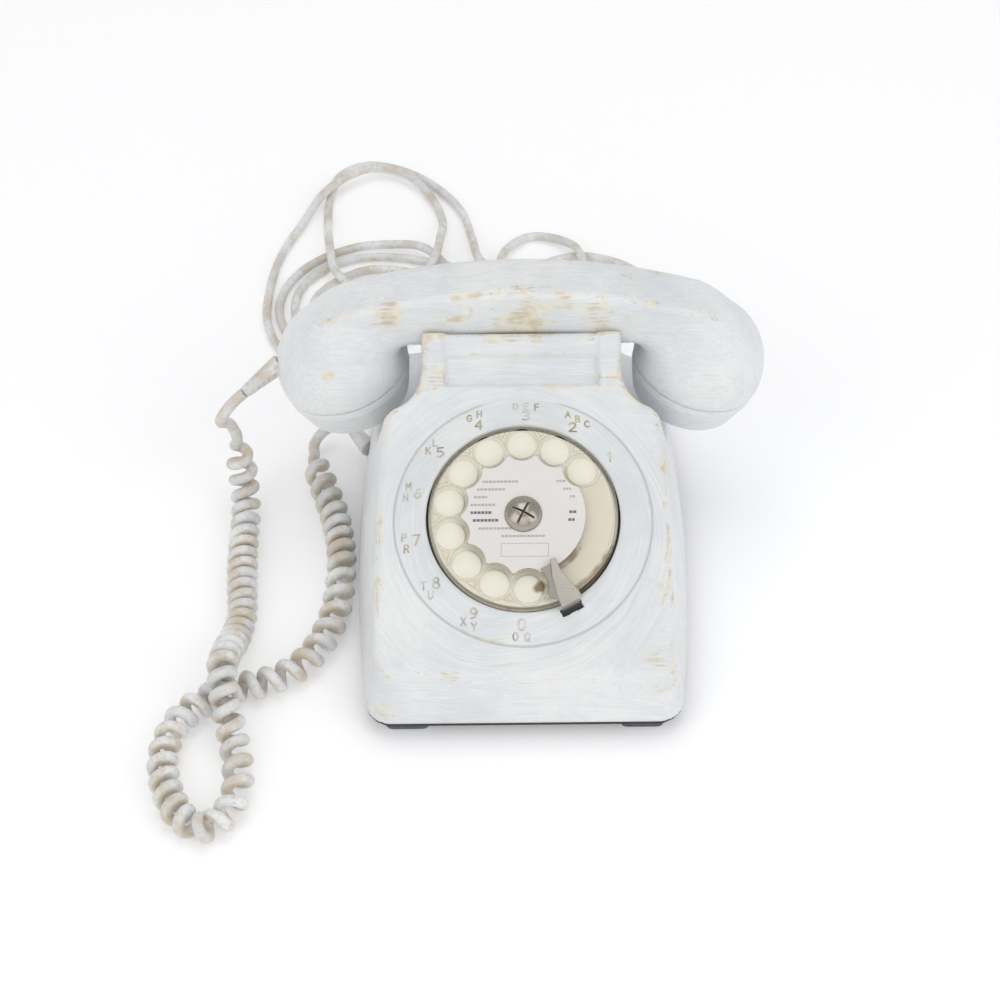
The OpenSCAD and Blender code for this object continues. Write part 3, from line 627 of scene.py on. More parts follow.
def helix_line():
    """Centre of the curly cord's wire from the handset to the body, and the coil's own direction."""
    start, _ = even_line(smooth_line(TOP_ROUTE, 10), 2.0)
    end, _ = even_line(smooth_line(TAIL_ROUTE, 10), 2.0)
    middle, reach = even_line(smooth_line(COIL_ROUTE, 12), 0.2)
    pitch = np.interp(reach, [p[0] for p in PITCH], [p[1] for p in PITCH])
    phase = np.r_[0, np.cumsum(np.diff(reach) * 2 * math.pi / pitch[1:])]
    ahead, u, v = frames(middle)
    turns = phase[-1] / (2 * math.pi)
    want = np.linspace(0, phase[-1], int(turns * TURN_PARTS) + 1)
    at = np.interp(want, phase, reach)
    ramp = np.minimum(step_up(at / 18), step_up((reach[-1] - at) / 15))
    radius = COIL_R * ramp * (1 + 0.03 * np.sin(want * 0.13))

    def sample(rows):
        return np.stack([np.interp(at, reach, rows[:, n]) for n in range(3)], 1)
    coil = (sample(middle) + radius[:, None] * (np.cos(want)[:, None] * sample(u)
                                                + np.sin(want)[:, None] * sample(v)))
    axis = np.vstack([np.zeros((len(start) - 1, 3)), sample(ahead), np.zeros((len(end) - 1, 3))])
    return np.vstack([start[:-1], coil, end[1:]]), axis


# ---------------------------------------------------------------- shaders

class Shader:
    """One material and short ways to add to its nodes."""

    def __init__(self, name, roughness=0.5, metallic=0.0, **sockets):
        self.material = bpy.data.materials.new(name)
        self.material.use_nodes = True
        self.tree = self.material.node_tree
        self.surface = self.tree.nodes["Principled BSDF"]
        self.surface.inputs["Roughness"].default_value = roughness
        self.surface.inputs["Metallic"].default_value = metallic
        for key, value in sockets.items():
            self.surface.inputs[key.replace("_", " ")].default_value = value
        self.place = self.node("ShaderNodeTexCoord").outputs["Object"]

    def node(self, kind, inputs=None, **settings):
        """A new node with its settings, and a number, a colour or a link for each input named."""
        made = self.tree.nodes.new(kind)
        for key, value in settings.items():
            setattr(made, key, value)
        for key, source in (inputs or {}).items():
            self.join(source, made.inputs[key])
        return made

    def join(self, source, target):
        if isinstance(source, (int, float)):
            target.default_value = source
        elif isinstance(source, tuple):
            target.default_value = (*source, 1) if len(target.default_value) == 4 else source
        else:
            self.tree.links.new(source, target)

    def stretched(self, scale, turn=(0, 0, 0), place=None):
        turn = tuple(math.radians(a) for a in turn)
        inputs = {"Vector": place or self.place, "Rotation": turn, "Scale": scale}
        return self.node("ShaderNodeMapping", inputs).outputs["Vector"]

    def noise(self, scale, detail=4, rough=0.55, place=None, colour=False):
        inputs = {"Vector": place or self.place, "Scale": scale, "Detail": detail, "Roughness": rough}
        return self.node("ShaderNodeTexNoise", inputs).outputs["Color" if colour else "Fac"]

    def wobbled(self, scale, amount):
        """Place, moved about by a slow noise."""
        inputs = {0: self.noise(scale, 2, 0.5, colour=True), 1: (amount, amount, amount), 2: self.place}
        return self.node("ShaderNodeVectorMath", inputs, operation="MULTIPLY_ADD").outputs[0]

    def split(self, vector):
        return self.node("ShaderNodeSeparateXYZ", {0: vector}).outputs

    def maths(self, operation, *numbers):
        return self.node("ShaderNodeMath", dict(enumerate(numbers)), operation=operation).outputs[0]

    def times(self, a, b):
        return self.maths("MULTIPLY", a, b)

    def times_plus(self, a, b, c):
        return self.maths("MULTIPLY_ADD", a, b, c)

    def between(self, value, low, high):
        """0 below low and 1 above high."""
        inputs = {"Value": value, "From Min": low, "From Max": high}
        return self.node("ShaderNodeMapRange", inputs, interpolation_type="SMOOTHSTEP").outputs["Result"]

    def mix(self, share, a, b):
        """Mix of two colours."""
        return self.node("ShaderNodeMix", {0: share, 6: a, 7: b}, data_type="RGBA").outputs[2]

    def blend(self, share, a, b):
        """Mix of two numbers."""
        return self.node("ShaderNodeMix", {0: share, 2: a, 3: b}, data_type="FLOAT").outputs[0]

    def mark(self, name):
        """The numbers that a mesh has under that name, 0 where it has none."""
        return self.node("ShaderNodeAttribute", attribute_name=name).outputs["Fac"]

    def colour(self, source):
        self.join(source, self.surface.inputs["Base Color"])

    def rough(self, source):
        self.join(source, self.surface.inputs["Roughness"])

    def bump(self, height, distance, strength=0.6):
        inputs = {"Height": height, "Distance": distance * MM, "Strength": strength}
        self.join(self.node("ShaderNodeBump", inputs).outputs["Normal"], self.surface.inputs["Normal"])


WHITE_PAINT = (0.83, 0.838, 0.83)
BLUE_PAINT = (0.685, 0.712, 0.728)
IVORY = (0.60, 0.50, 0.34)
PALE_IVORY = (0.82, 0.765, 0.60)


def brushed(s, place, length, width, detail=5):
    """Strokes along X and across it that follow the surface, and strokes round the dial."""
    normal = s.split(s.node("ShaderNodeTexCoord").outputs["Normal"])
    sideways = s.between(s.maths("ABSOLUTE", normal[0]), 0.55, 0.85)
    upright = s.between(s.maths("ABSOLUTE", normal[2]), 0.30, 0.60)
    scales = [tuple(length if k == n else width for k in range(3)) for n in range(3)]
    along_x, along_y, along_z = [s.noise(1, detail, 0.62, s.stretched(scale, place=place))
                                 for scale in scales]
    at = s.split(place)
    x = at[0]
    y = s.times(s.maths("ADD", at[1], -DIAL_Y * MM), 1 / cos(SLOPE))
    away = s.maths("SQRT", s.times_plus(x, x, s.times(y, y)))
    turn_x, turn_y = [s.times(s.maths("DIVIDE", part, away), length * 0.05) for part in (x, y)]
    polar = s.node("ShaderNodeCombineXYZ", {0: turn_x, 1: turn_y, 2: s.times(away, width)})
    rounds = s.noise(1, detail, 0.62, polar.outputs[0])
    on_slope = s.times(s.between(away, 0.088, 0.070), s.between(normal[2], 0.62, 0.74))
    on_slope = s.times(on_slope, s.between(at[1], 0.034, 0.024))
    straight = s.blend(sideways, along_x, along_y)
    return s.blend(on_slope, straight, rounds), s.blend(upright, along_z, along_y)


def paint(name, blue=0.5):
    """Hand-brushed white and blue-grey paint over ivory plastic that shows where it has worn."""
    s = Shader(name, 0.42, Specular_IOR_Level=0.45)
    place = s.wobbled(16, 0.012)
    one, two = brushed(s, place, 24, 720)
    streak = s.blend(s.between(s.noise(20, 2, 0.5), 0.52, 0.68), one, two)
    cloud = s.noise(24, 3, 0.6)
    tone = s.times_plus(cloud, 0.8, s.times(streak, 0.8))
    middle = 0.80 + 0.2 * (blue - 0.5)
    base = s.mix(s.between(tone, middle - 0.24, middle + 0.24), BLUE_PAINT, WHITE_PAINT)
    fine, _ = brushed(s, place, 50, 1700, 3)
    thin = s.between(s.times_plus(fine, 0.6, s.times(streak, 0.5)), 0.56, 0.76)
    base = s.mix(s.times(thin, 0.62), base, (0.55, 0.57, 0.565))
    rubbed = s.times_plus(s.between(streak, 0.36, 0.64), 0.36,
                          s.times(s.between(s.noise(75, 4, 0.65), 0.34, 0.66), 0.36))
    bare = s.between(s.times_plus(s.mark("wear"), 0.72, rubbed), 0.70, 0.96)
    plastic_tone = s.mix(s.between(s.noise(140, 4), 0.35, 0.68), PALE_IVORY, IVORY)
    base = s.mix(s.times(bare, 0.9), base, plastic_tone)
    s.colour(base)
    s.rough(s.blend(bare, s.blend(streak, 0.52, 0.36), 0.30))
    s.bump(s.maths("SUBTRACT", s.times_plus(fine, 0.45, streak), s.times(bare, 0.35)), 0.30, 0.5)
    return s


def ring_paint():
    """The same paint on the number ring, with its cut figures stained where paint left them."""
    s = paint("ring_paint", 0.75)
    base = s.surface.inputs["Base Color"].links[0].from_socket
    stain = s.mix(s.between(s.noise(160, 3), 0.42, 0.6), (0.34, 0.26, 0.17), (0.58, 0.48, 0.33))
    left = s.times_plus(s.between(s.noise(95, 3), 0.38, 0.58), 0.62, 0.36)
    share = s.times(s.between(s.mark("engraved"), 0.45, 0.75), left)
    base = s.mix(share, base, stain)
    base = s.mix(s.times(s.mark("rim"), 0.65), base, (0.46, 0.49, 0.50))
    # Painted shade: near black in the stop's slot and on the ring's inner wall.
    base = s.mix(s.mark("painted_shade"), base, (0.03, 0.035, 0.035))
    s.colour(base)
    return s.material


def plastic(name, colour, second, roughness, scale, speck):
    """Moulded plastic with slow colour changes and a fine grain."""
    s = Shader(name, roughness)
    slow = s.noise(scale, 4, 0.6)
    fine = s.noise(scale * 18, 2, 0.5)
    s.colour(s.mix(s.times_plus(fine, speck, s.between(slow, 0.3, 0.75)), colour, second))
    s.rough(s.blend(slow, roughness - 0.06, roughness + 0.12))
    s.bump(fine, 0.05, 0.4)
    return s.material


def metal(name, colour, second, roughness, dirt=(0.25, 0.2, 0.14)):
    """Drawn or plated metal: fine lines one way, and dull spots."""
    s = Shader(name, roughness, 1.0)
    lines = s.noise(1, 3, 0.6, s.stretched((90, 3200, 3200)))
    spots = s.between(s.noise(220, 4, 0.7), 0.58, 0.74)
    tone = s.mix(lines, colour, second)
    tone = s.mix(s.times(spots, 0.5), tone, dirt)
    # Painted shade: the shade mark pulls the colour towards near black.
    s.colour(s.mix(s.mark("shade"), tone, (0.03, 0.025, 0.02)))
    s.rough(s.times_plus(spots, 0.25, s.blend(lines, roughness - 0.05, roughness + 0.12)))
    s.bump(lines, 0.03, 0.35)
    return s.material


def cord_paint():
    """Grey paint over a tan cord, rubbed off here and there."""
    s = Shader("cord_paint", 0.45)
    patch = s.noise(85, 4, 0.6)
    streak = s.noise(1, 4, 0.6, s.stretched((160, 160, 420), (20, 30, 0)))
    grey = s.mix(s.between(s.noise(55, 3), 0.35, 0.7), (0.66, 0.665, 0.66), (0.83, 0.835, 0.83))
    specks = s.between(s.noise(480, 4, 0.7), 0.54, 0.66)
    grey = s.mix(s.times(specks, 0.55), grey, (0.48, 0.455, 0.41))
    rubbed = s.times_plus(patch, 0.9, s.times(streak, 0.55))
    between_turns = s.times(s.between(s.mark("gap"), 0.55, 0.92), s.between(patch, 0.40, 0.56))
    bare = s.times(s.maths("MAXIMUM", s.between(rubbed, 0.66, 0.92), between_turns), 0.80)
    s.colour(s.mix(bare, grey, s.mix(streak, (0.50, 0.39, 0.26), (0.70, 0.61, 0.46))))
    s.rough(s.blend(bare, 0.48, 0.36))
    s.bump(s.maths("SUBTRACT", streak, s.times(bare, 0.4)), 0.2, 0.5)
    return s.material


def clear_plastic():
    """Yellowed clear plastic: mostly see-through, more solid where it is seen edge on."""
    s = Shader("clear_plastic", 0.06, Specular_IOR_Level=0.8, IOR=1.49)
    haze = s.noise(120, 3, 0.6)
    rim = s.mark("rim")
    # Painted shade: the rims' edges are coloured darker, in place of the dark outlines that light bent
    # through clear edges gives.
    s.colour(s.mix(rim, s.mix(haze, (0.86, 0.83, 0.72), (0.94, 0.92, 0.84)), (0.46, 0.43, 0.35)))
    facing = s.node("ShaderNodeLayerWeight", {"Blend": 0.35})
    edge_on = s.blend(facing.outputs["Facing"], s.blend(haze, 0.05, 0.10), 0.42)
    s.join(s.maths("MAXIMUM", edge_on, s.times(rim, 0.34)), s.surface.inputs["Alpha"])
    s.rough(s.blend(haze, 0.04, 0.14))
    s.bump(s.noise(500, 2), 0.02, 0.3)
    return s.material


def pan_plastic():
    """Cream plastic, paler under the finger holes, brown grime at its edges, painted shade on its flange."""
    s = Shader("cream_plastic", 0.38)
    slow = s.noise(70, 4, 0.6)
    base = s.mix(slow, (0.75, 0.68, 0.53), (0.86, 0.81, 0.69))
    base = s.mix(s.mark("pale"), base, s.mix(slow, (0.86, 0.82, 0.68), (0.90, 0.87, 0.76)))
    dirt = s.times_plus(s.noise(260, 4, 0.7), 0.9, s.mark("grime"))
    base = s.mix(s.between(dirt, 0.78, 1.25), base, (0.30, 0.21, 0.12))
    # Painted shade: near black on the outer flange, in the gap between the wheel and the ring.
    s.colour(s.mix(s.mark("painted_shade"), base, (0.05, 0.055, 0.05)))
    s.bump(s.noise(700, 2), 0.04, 0.4)
    return s.material


def paper():
    """Matt card with a fine fibre."""
    s = Shader("card_paper", 0.55)
    fibre = s.noise(900, 3, 0.6)
    s.colour(s.mix(s.times_plus(fibre, 0.4, s.times(s.noise(45, 3), 0.6)),
                   (0.70, 0.67, 0.64), (0.80, 0.78, 0.76)))
    s.bump(fibre, 0.03, 0.4)
    return s.material


def ink():
    """Grey print, darker in the bold lines."""
    s = Shader("ink", 0.6)
    s.colour(s.mix(s.mark("bold"), s.mix(s.noise(800, 3), (0.34, 0.34, 0.34), (0.55, 0.54, 0.53)),
                   s.mix(s.noise(800, 3), (0.08, 0.08, 0.09), (0.24, 0.24, 0.24))))
    s.bump(s.noise(900, 2), 0.01, 0.2)
    return s.material


def winding():
    """Fine enamelled wire wound round a core."""
    s = Shader("copper_winding", 0.3, 0.6)
    wave = s.node("ShaderNodeTexWave", {"Vector": s.place, "Scale": 900}, bands_direction="X")
    s.colour(s.mix(wave.outputs["Fac"], (0.22, 0.05, 0.03), (0.55, 0.20, 0.10)))
    s.bump(wave.outputs["Fac"], 0.15, 0.6)
    return s.material


METALS = {
    "nickel": ((0.34, 0.305, 0.255), (0.54, 0.495, 0.435), 0.22),
    "worn_steel": ((0.42, 0.395, 0.35), (0.58, 0.55, 0.50), 0.42),
    "steel": ((0.50, 0.50, 0.49), (0.66, 0.66, 0.65), 0.32),
    "gong_metal": ((0.55, 0.53, 0.49), (0.68, 0.66, 0.62), 0.22),
    "brass": ((0.60, 0.44, 0.18), (0.76, 0.60, 0.28), 0.28, (0.22, 0.14, 0.06)),
    # Near black base plate: painted shade for the dark band under the body's rim.
    "base_steel": ((0.055, 0.057, 0.06), (0.11, 0.11, 0.11), 0.6),
    "iron": ((0.14, 0.14, 0.15), (0.24, 0.24, 0.25), 0.5),
}
PLASTICS = {
    "rubber": ((0.055, 0.06, 0.07), (0.14, 0.15, 0.17), 0.7, 110, 0.5),
    "white_plastic": ((0.80, 0.79, 0.75), (0.72, 0.66, 0.54), 0.35, 90, 0.2),
    "phenolic": ((0.20, 0.10, 0.05), (0.34, 0.19, 0.10), 0.4, 80, 0.4),
    "capacitor_film": ((0.62, 0.44, 0.10), (0.78, 0.60, 0.22), 0.25, 60, 0.2),
}


def make_materials():
    made = {"painted_plastic": paint("painted_plastic").material, "painted_ring": ring_paint(),
            "clear_plastic": clear_plastic(), "cream_plastic": pan_plastic(), "card": paper(),
            "ink": ink(), "copper_winding": winding(), "cord_plastic": cord_paint()}
    made.update({name: metal(name, *look) for name, look in METALS.items()})
    made.update({name: plastic(name, *look) for name, look in PLASTICS.items()})
    return made


# ---------------------------------------------------------------- pieces

materials = {}


def finish_piece(obj, slot, body, replaced=(), material=None):
    """Gives a piece its material (by slot unless named), the body it rides and the CAD nodes it replaces."""
    obj.data.materials.clear()
    obj.data.materials.append(materials[material or slot])
    if replaced:
        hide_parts(*replaced)
    if body:
        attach(obj, body)
    return obj


def make_line_cord():
    """The line cord, and its length in metres."""
    line = smooth_line(LINE_ROUTE, 6)
    line[:, 2] = np.maximum(line[:, 2], LINE_D / 2 + 0.02)
    curve = bpy.data.curves.new("line_lead", "CURVE")
    curve.dimensions = "3D"
    curve.bevel_depth = LINE_D / 2 * MM
    curve.bevel_resolution = 4
    curve.use_fill_caps = True
    spline = curve.splines.new("POLY")
    spline.points.add(len(line) - 1)
    spline.points.foreach_set("co", np.c_[line * MM, np.ones(len(line))].ravel())
    lead = show("line_lead", curve)
    finish_piece(lead, "cord_plastic", "root", ["line_cord"])
    return lead, np.linalg.norm(np.diff(line, axis=0), axis=1).sum() * MM


def make_handset_cord():
    """The curly cord and its straight ends, as one wire from the handset to the body."""
    line, axis = helix_line()
    cord = tube("curly_cord", line, WIRE_D / 2, 12, axis)
    finish_piece(cord, "cord_plastic", None,
                 ["handset_cord_top", "handset_cord_coil", "handset_cord_tail"])
    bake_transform(cord)


def make_reliefs():
    """The strain reliefs on the handset, at the body's side and at its rear."""
    made = {}
    for name, node, ends, d_start, d_end, body in (
            ("handset_boot", "handset_relief", RELIEF_TOP, 9.5, 5.8, "handset"),
            ("side_boot", "body_relief", RELIEF_SIDE, 9.0, 5.8, "root"),
            ("rear_boot", "line_relief", RELIEF_REAR, 8.0, 5.4, "root")):
        length = (Vector(ends[1]) - Vector(ends[0])).length
        boot = sculpt(name, relief_field(length, d_start, d_end), (-5, -5, 0), (5, 5, length), 0.4,
                      along(*ends))
        made[name] = finish_piece(boot, "cord_plastic", body, [node])
    return made


def make_hook_spring():
    """The hook's spring: a real coil of wire."""
    turns, coil_r, wire_r, middle_y, foot_z, rise = 9.5, 2, 0.52, 77, 78.95, 10.9
    t = np.linspace(0, 1, int(turns * 18))
    angle = t * turns * 2 * math.pi
    height = foot_z + rise * np.clip((t * turns - 0.9) / (turns - 1.8), 0, 1)
    line = np.stack([coil_r * np.cos(angle), middle_y + coil_r * np.sin(angle), height], 1)
    spring = tube("hook_coil", line, wire_r, 8)
    finish_piece(spring, "steel", "root", ["hook_spring"])
    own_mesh(spring)


def wear_rule(field, spots, edge, h=2.0):
    """Wear: more on convex edges, and round the given spots (centre, radius, amount)."""
    def rule(points):
        worn = edge * 0.60 * np.clip((roundness(field, points, h) - 0.08) / 0.20, 0, 1)
        for centre, radius, amount in spots:
            worn = np.maximum(worn, amount * near(*points.T, centre, radius))
        return worn
    return rule


BODY_SPOTS = [((62, -96, 36), 22, 0.75), ((-64, -100, 14), 20, 0.6), ((66, -92, 14), 16, 0.5),
              ((66, 0, 78), 18, 0.7), ((-66, -60, 48), 18, 0.45), ((64, -60, 50), 20, 0.45),
              ((42, 24, 96), 14, 0.5), ((-38, 26, 98), 16, 0.5), ((0, -101, 20), 20, 0.3)]
HANDSET_SPOTS = [((2, 40, 122), 40, 0.8), ((-30, 40, 120), 26, 0.6), ((38, 41, 122), 26, 0.6),
                 ((-60, 40, 122), 18, 0.6), ((-88, 28, 100), 7, 1.2), ((10, 46, 138), 22, 0.45),
                 ((55, 62, 130), 18, 0.45)]


SHELL_STEP = 1.2


def make_body():
    """The painted body, worn at its edges and in a few places."""
    body = sculpt("painted_body", body_field, (-78, -104, 8), (78, 104, 118), SHELL_STEP,
                  marks={"wear": wear_rule(body_outline, BODY_SPOTS, 1.0)})
    finish_piece(body, "painted_plastic", "root", ["body_shell"])


def make_handset():
    """The handset's painted shell and its two screwed-on caps."""
    shell = sculpt("painted_handset", handset_field, (-116, 20, 70), (116, 86, 140), SHELL_STEP,
                   marks={"wear": wear_rule(handset_outline, HANDSET_SPOTS, 0.8)})
    finish_piece(shell, "painted_plastic", "handset", ["handset_shell"])
    for side, name, node in ((1, "painted_ear_cap", "earpiece_cap"),
                             (-1, "painted_mouth_cap", "mouthpiece_cap")):
        cap = sculpt(name, cap_field, (-31, -31, -21), (31, 31, 1), 0.8, from_cup(side),
                     marks={"wear": wear_rule(cap_field, [], 0.5, 1.0)})
        finish_piece(cap, "painted_plastic", "handset", [node])


# Strokes of the dial's figures and letters, on a grid 4 wide and 6 high
OVAL = [(2 + 1.9 * cos(a), 3 + 3 * sin(a)) for a in range(0, 361, 30)]
STEM, BAR = [(0.4, 0), (0.4, 6)], [(0.4, 3.1), (3.2, 3.1)]
BOWL = STEM + [(3.2, 5.8), (3.6, 4.5), (3.1, 3.1), (0.4, 2.8)]
GLYPHS = {
    "0": [OVAL],
    "1": [[(1, 4.8), (2.2, 6), (2.2, 0)]],
    "2": [[(0.2, 4.6), (0.9, 5.7), (2.1, 6), (3.4, 5.5), (3.8, 4.4), (3.2, 3.2), (0, 0), (4, 0)]],
    "3": [[(0.2, 5.6), (2, 6), (3.6, 5.2), (3.4, 3.9), (1.6, 3.2), (3.4, 2.7), (3.9, 1.4), (2.2, 0),
           (0.1, 0.6)]],
    "4": [[(3, 0), (3, 6), (0, 1.8), (4, 1.8)]],
    "5": [[(3.7, 6), (0.8, 6), (0.4, 3.4), (2.2, 3.8), (3.8, 2.8), (3.8, 1.2), (2, 0), (0.1, 0.6)]],
    "6": [[(3.4, 5.7), (1.5, 5.1), (0.3, 3), (0.3, 1.3), (2, 0), (3.7, 1.2), (3.6, 2.5), (2, 3.5),
           (0.5, 2.5)]],
    "7": [[(0, 6), (4, 6), (1.5, 0)]],
    "8": [[(2 + 1.5 * cos(a), 4.6 + 1.4 * sin(a)) for a in range(0, 361, 40)],
          [(2 + 1.9 * cos(a), 1.6 + 1.6 * sin(a)) for a in range(0, 361, 40)]],
    "9": [[(0.6, 0.3), (2.5, 0.9), (3.7, 3), (3.7, 4.7), (2, 6), (0.3, 4.8), (0.4, 3.5), (2, 2.5),
           (3.5, 3.5)]],
    "A": [[(0, 0), (2, 6), (4, 0)], [(0.8, 2.2), (3.2, 2.2)]],
    "B": [STEM + [(3, 5.6), (3.2, 3.6), (0.4, 3.1), (3.4, 2.6), (3.6, 0.6), (0.4, 0)]],
    "C": [[(3.8, 5), (2.2, 6), (0.4, 4.6), (0.3, 1.5), (2.2, 0), (3.8, 1)]],
    "D": [STEM + [(2.6, 5.7), (3.8, 4), (3.8, 2), (2.6, 0.3), (0.4, 0)]],
    "E": [[(3.8, 6), (0.4, 6), (0.4, 0), (3.8, 0)], BAR],
    "F": [[(3.8, 6), (0.4, 6), (0.4, 0)], BAR],
    "G": [[(3.7, 5), (2.2, 6), (0.4, 4.6), (0.3, 1.5), (2.2, 0), (3.8, 1), (3.8, 2.8), (2.2, 2.8)]],
    "H": [STEM, [(3.7, 0), (3.7, 6)], [(0.4, 3.1), (3.7, 3.1)]],
    "K": [STEM, [(3.8, 6), (0.4, 2.6)], [(1.6, 3.6), (3.8, 0)]],
    "L": [[(0.4, 6), (0.4, 0), (3.8, 0)]],
    "M": [[(0.2, 0), (0.2, 6), (2, 2.6), (3.8, 6), (3.8, 0)]],
    "N": [[(0.4, 0), (0.4, 6), (3.7, 0), (3.7, 6)]],
    "P": [BOWL],
    "Q": [OVAL, [(2.4, 1.6), (4, -0.4)]],
    "R": [BOWL, [(2, 2.9), (3.8, 0)]],
    "T": [[(0, 6), (4, 6)], [(2, 6), (2, 0)]],
    "U": [[(0.3, 6), (0.4, 1.4), (2, 0), (3.6, 1.4), (3.7, 6)]],
    "X": [[(0.1, 0), (3.9, 6)], [(0.1, 6), (3.9, 0)]],
    "Y": [[(0, 6), (2, 3), (4, 6)], [(2, 3), (2, 0)]],
}
GLYPHS["O"] = GLYPHS["0"]
GROUPS = ["", "ABC", "DEF", "GH", "KL", "MN", "PR", "TU", "XY", "OQ"]


def dial_strokes():
    """Every stroke on the ring, as pairs of points in the dial's plane, with its width."""
    strokes = []

    def add(letter, centre, height):
        scale = height / 6
        for line in GLYPHS[letter]:
            points = [(centre[0] + (u - 2) * scale, centre[1] + (v - 3) * scale) for u, v in line]
            width = 0.38 if height == FIGURE_HIGH else 0.30
            strokes.extend((a, b, width) for a, b in zip(points, points[1:]))

    for i, angle in enumerate(FIGURES):
        add(str((i + 1) % 10), (FIGURE_R * cos(angle), FIGURE_R * sin(angle)), FIGURE_HIGH)
        letters = GROUPS[i]
        for k, letter in enumerate(letters):
            spread = 5.6 if angle > 150 else -5.2
            turn = angle + (k - (len(letters) - 1) / 2) * spread
            add(letter, (LETTER_R * cos(turn), LETTER_R * sin(turn)), LETTER_HIGH)
    return strokes


def make_ring():
    """Number ring: a low cone lathed round the dial, with its figures cut into it."""
    turns = 900
    slant = 44
    foot_r, foot_z, run, rise = 57.9, 0.35, 12, 4.05
    cone = [(foot_r - run * i / slant, foot_z + rise * i / slant) for i in range(slant + 1)]
    profile = ([(45.9, -4.8), (45.9, -0.2), (46.2, 0.05), (58.3, 0.05), (58.5, 0.12), (58.4, 0.3)] + cone
               + [(45.6, 4.5), (45.2, 4.55), (44.4, 4.5), (43.8, 4.4), (43.6, 4.1), (43.6, 2), (43.6, 0),
                  (43.6, -4.8)])
    profile = np.array(profile)
    angle = np.arange(turns) * 2 * math.pi / turns
    r = np.repeat(profile[:, 0][None], turns, 0)
    z = np.repeat(profile[:, 1][None], turns, 0)
    x, y = r * np.cos(angle)[:, None], r * np.sin(angle)[:, None]
    top = (z > 0.3) & (r > 45.3)
    depth = np.zeros_like(r)
    for start, end, width in dial_strokes():
        away = from_stretch(x, y, start, end)
        depth = np.maximum(depth, step_up(1.25 - away / width / 1.6))
    depth = np.where(top, depth, 0)
    s, c = sin(STOP_ANGLE), cos(STOP_ANGLE)
    out, side = x * c + y * s, -x * s + y * c
    slot = (abs(out - 46.9) < 1.7) & (abs(side + 0.2) < 5.2) & (z > 0.3)
    z = z - 0.42 * depth - np.where(slot, 2.0, 0)
    # Painted shade: black in the stop's slot, and dark on the ring's inner wall beside the wheel.
    painted_shade = np.where(slot, 1.0, np.where((r < 44) & (z < 4.0), 0.72, 0.0))
    points = np.stack([x, y, z], -1).reshape(-1, 3)
    wear = np.clip(0.25 + 0.2 * np.sin(3 * angle + 1), 0, 1)[:, None] * np.where(r > 57, 1.0, 0.4)
    ring = make_mesh("number_plate", from_dial(points), woven(turns, len(profile), closed=True),
                     {"engraved": depth.ravel(), "painted_shade": painted_shade.ravel(), "wear": wear.ravel(),
                      "rim": (r > 57.4).astype(float).ravel()})
    finish_piece(ring, "painted_ring", "root", ["number_ring"])


def pan_pale(points):
    """The pale discs under the finger holes."""
    x, y, z = points.T
    away = np.min(hole_distances(x, y), 0)
    return step_up((7.0 - away) / 0.6) * step_up((z - PAN_TOP + 0.6) / 0.5)


def pan_grime(points):
    """Brown dirt on the bare part of the pan, most of it near the stop and at the edges."""
    x, y, z = points.T
    angle = np.degrees(np.arctan2(y, x)) % 360
    r = np.hypot(x, y)
    low = step_up((angle - 292) / 14) * step_up((352 - angle) / 34)
    edge = step_up((r - 36.5) / 4.5) * low * 0.75 + step_up((r - 39.5) / 2) * 0.35
    inner = step_up((31.5 - r) / 2.5) * 0.7 * low
    stained = near(x, y, z, (HOLE_R * cos(HOLES[9] + 9), HOLE_R * sin(HOLES[9] + 9), PAN_TOP), 6.5) * 0.95
    return np.clip(edge + inner + stained, 0, 1)


def stop_shade(points):
    """Painted shade makes the stop's low side plate darker than its bar."""
    x, y, z = points.T
    edge = np.interp(x, [25, 32, 42, 46], [0.6, -2.2, -4.4, -5.0])
    return 0.28 * step_up((edge - y) / 0.4) * step_up((z - STOP_Z + 1) / 0.5)


def screw_shade(points):
    """Dirt and painted shade in the cross of the centre screw and round its rim."""
    x, y, z = points.T
    deep = SCREW_ROUND - np.sqrt(x ** 2 + y ** 2 + (z - CARD_TOP + SCREW_DROP) ** 2)
    cross = step_up((deep - 0.15) / 0.4) * step_up((z - CARD_TOP - 1.2) / 0.5)
    return np.maximum(0.75 * cross, 0.35 * step_up((np.hypot(x, y) - 7.6) / 0.8))


def wheel_rim(points):
    """Edges of the clear wheel's raised rims, which show as thin lines of painted shade."""
    x, y, z = points.T
    away = np.min(hole_distances(x, y), 0)
    edges = np.minimum(abs(away - 8.7), abs(away - 7.3))
    edges = np.minimum(edges, abs(np.hypot(x, y) - WHEEL_R + 1.9))
    return step_up((0.75 - edges) / 0.5) * step_up((z - WHEEL_Z - 1) / 0.5)


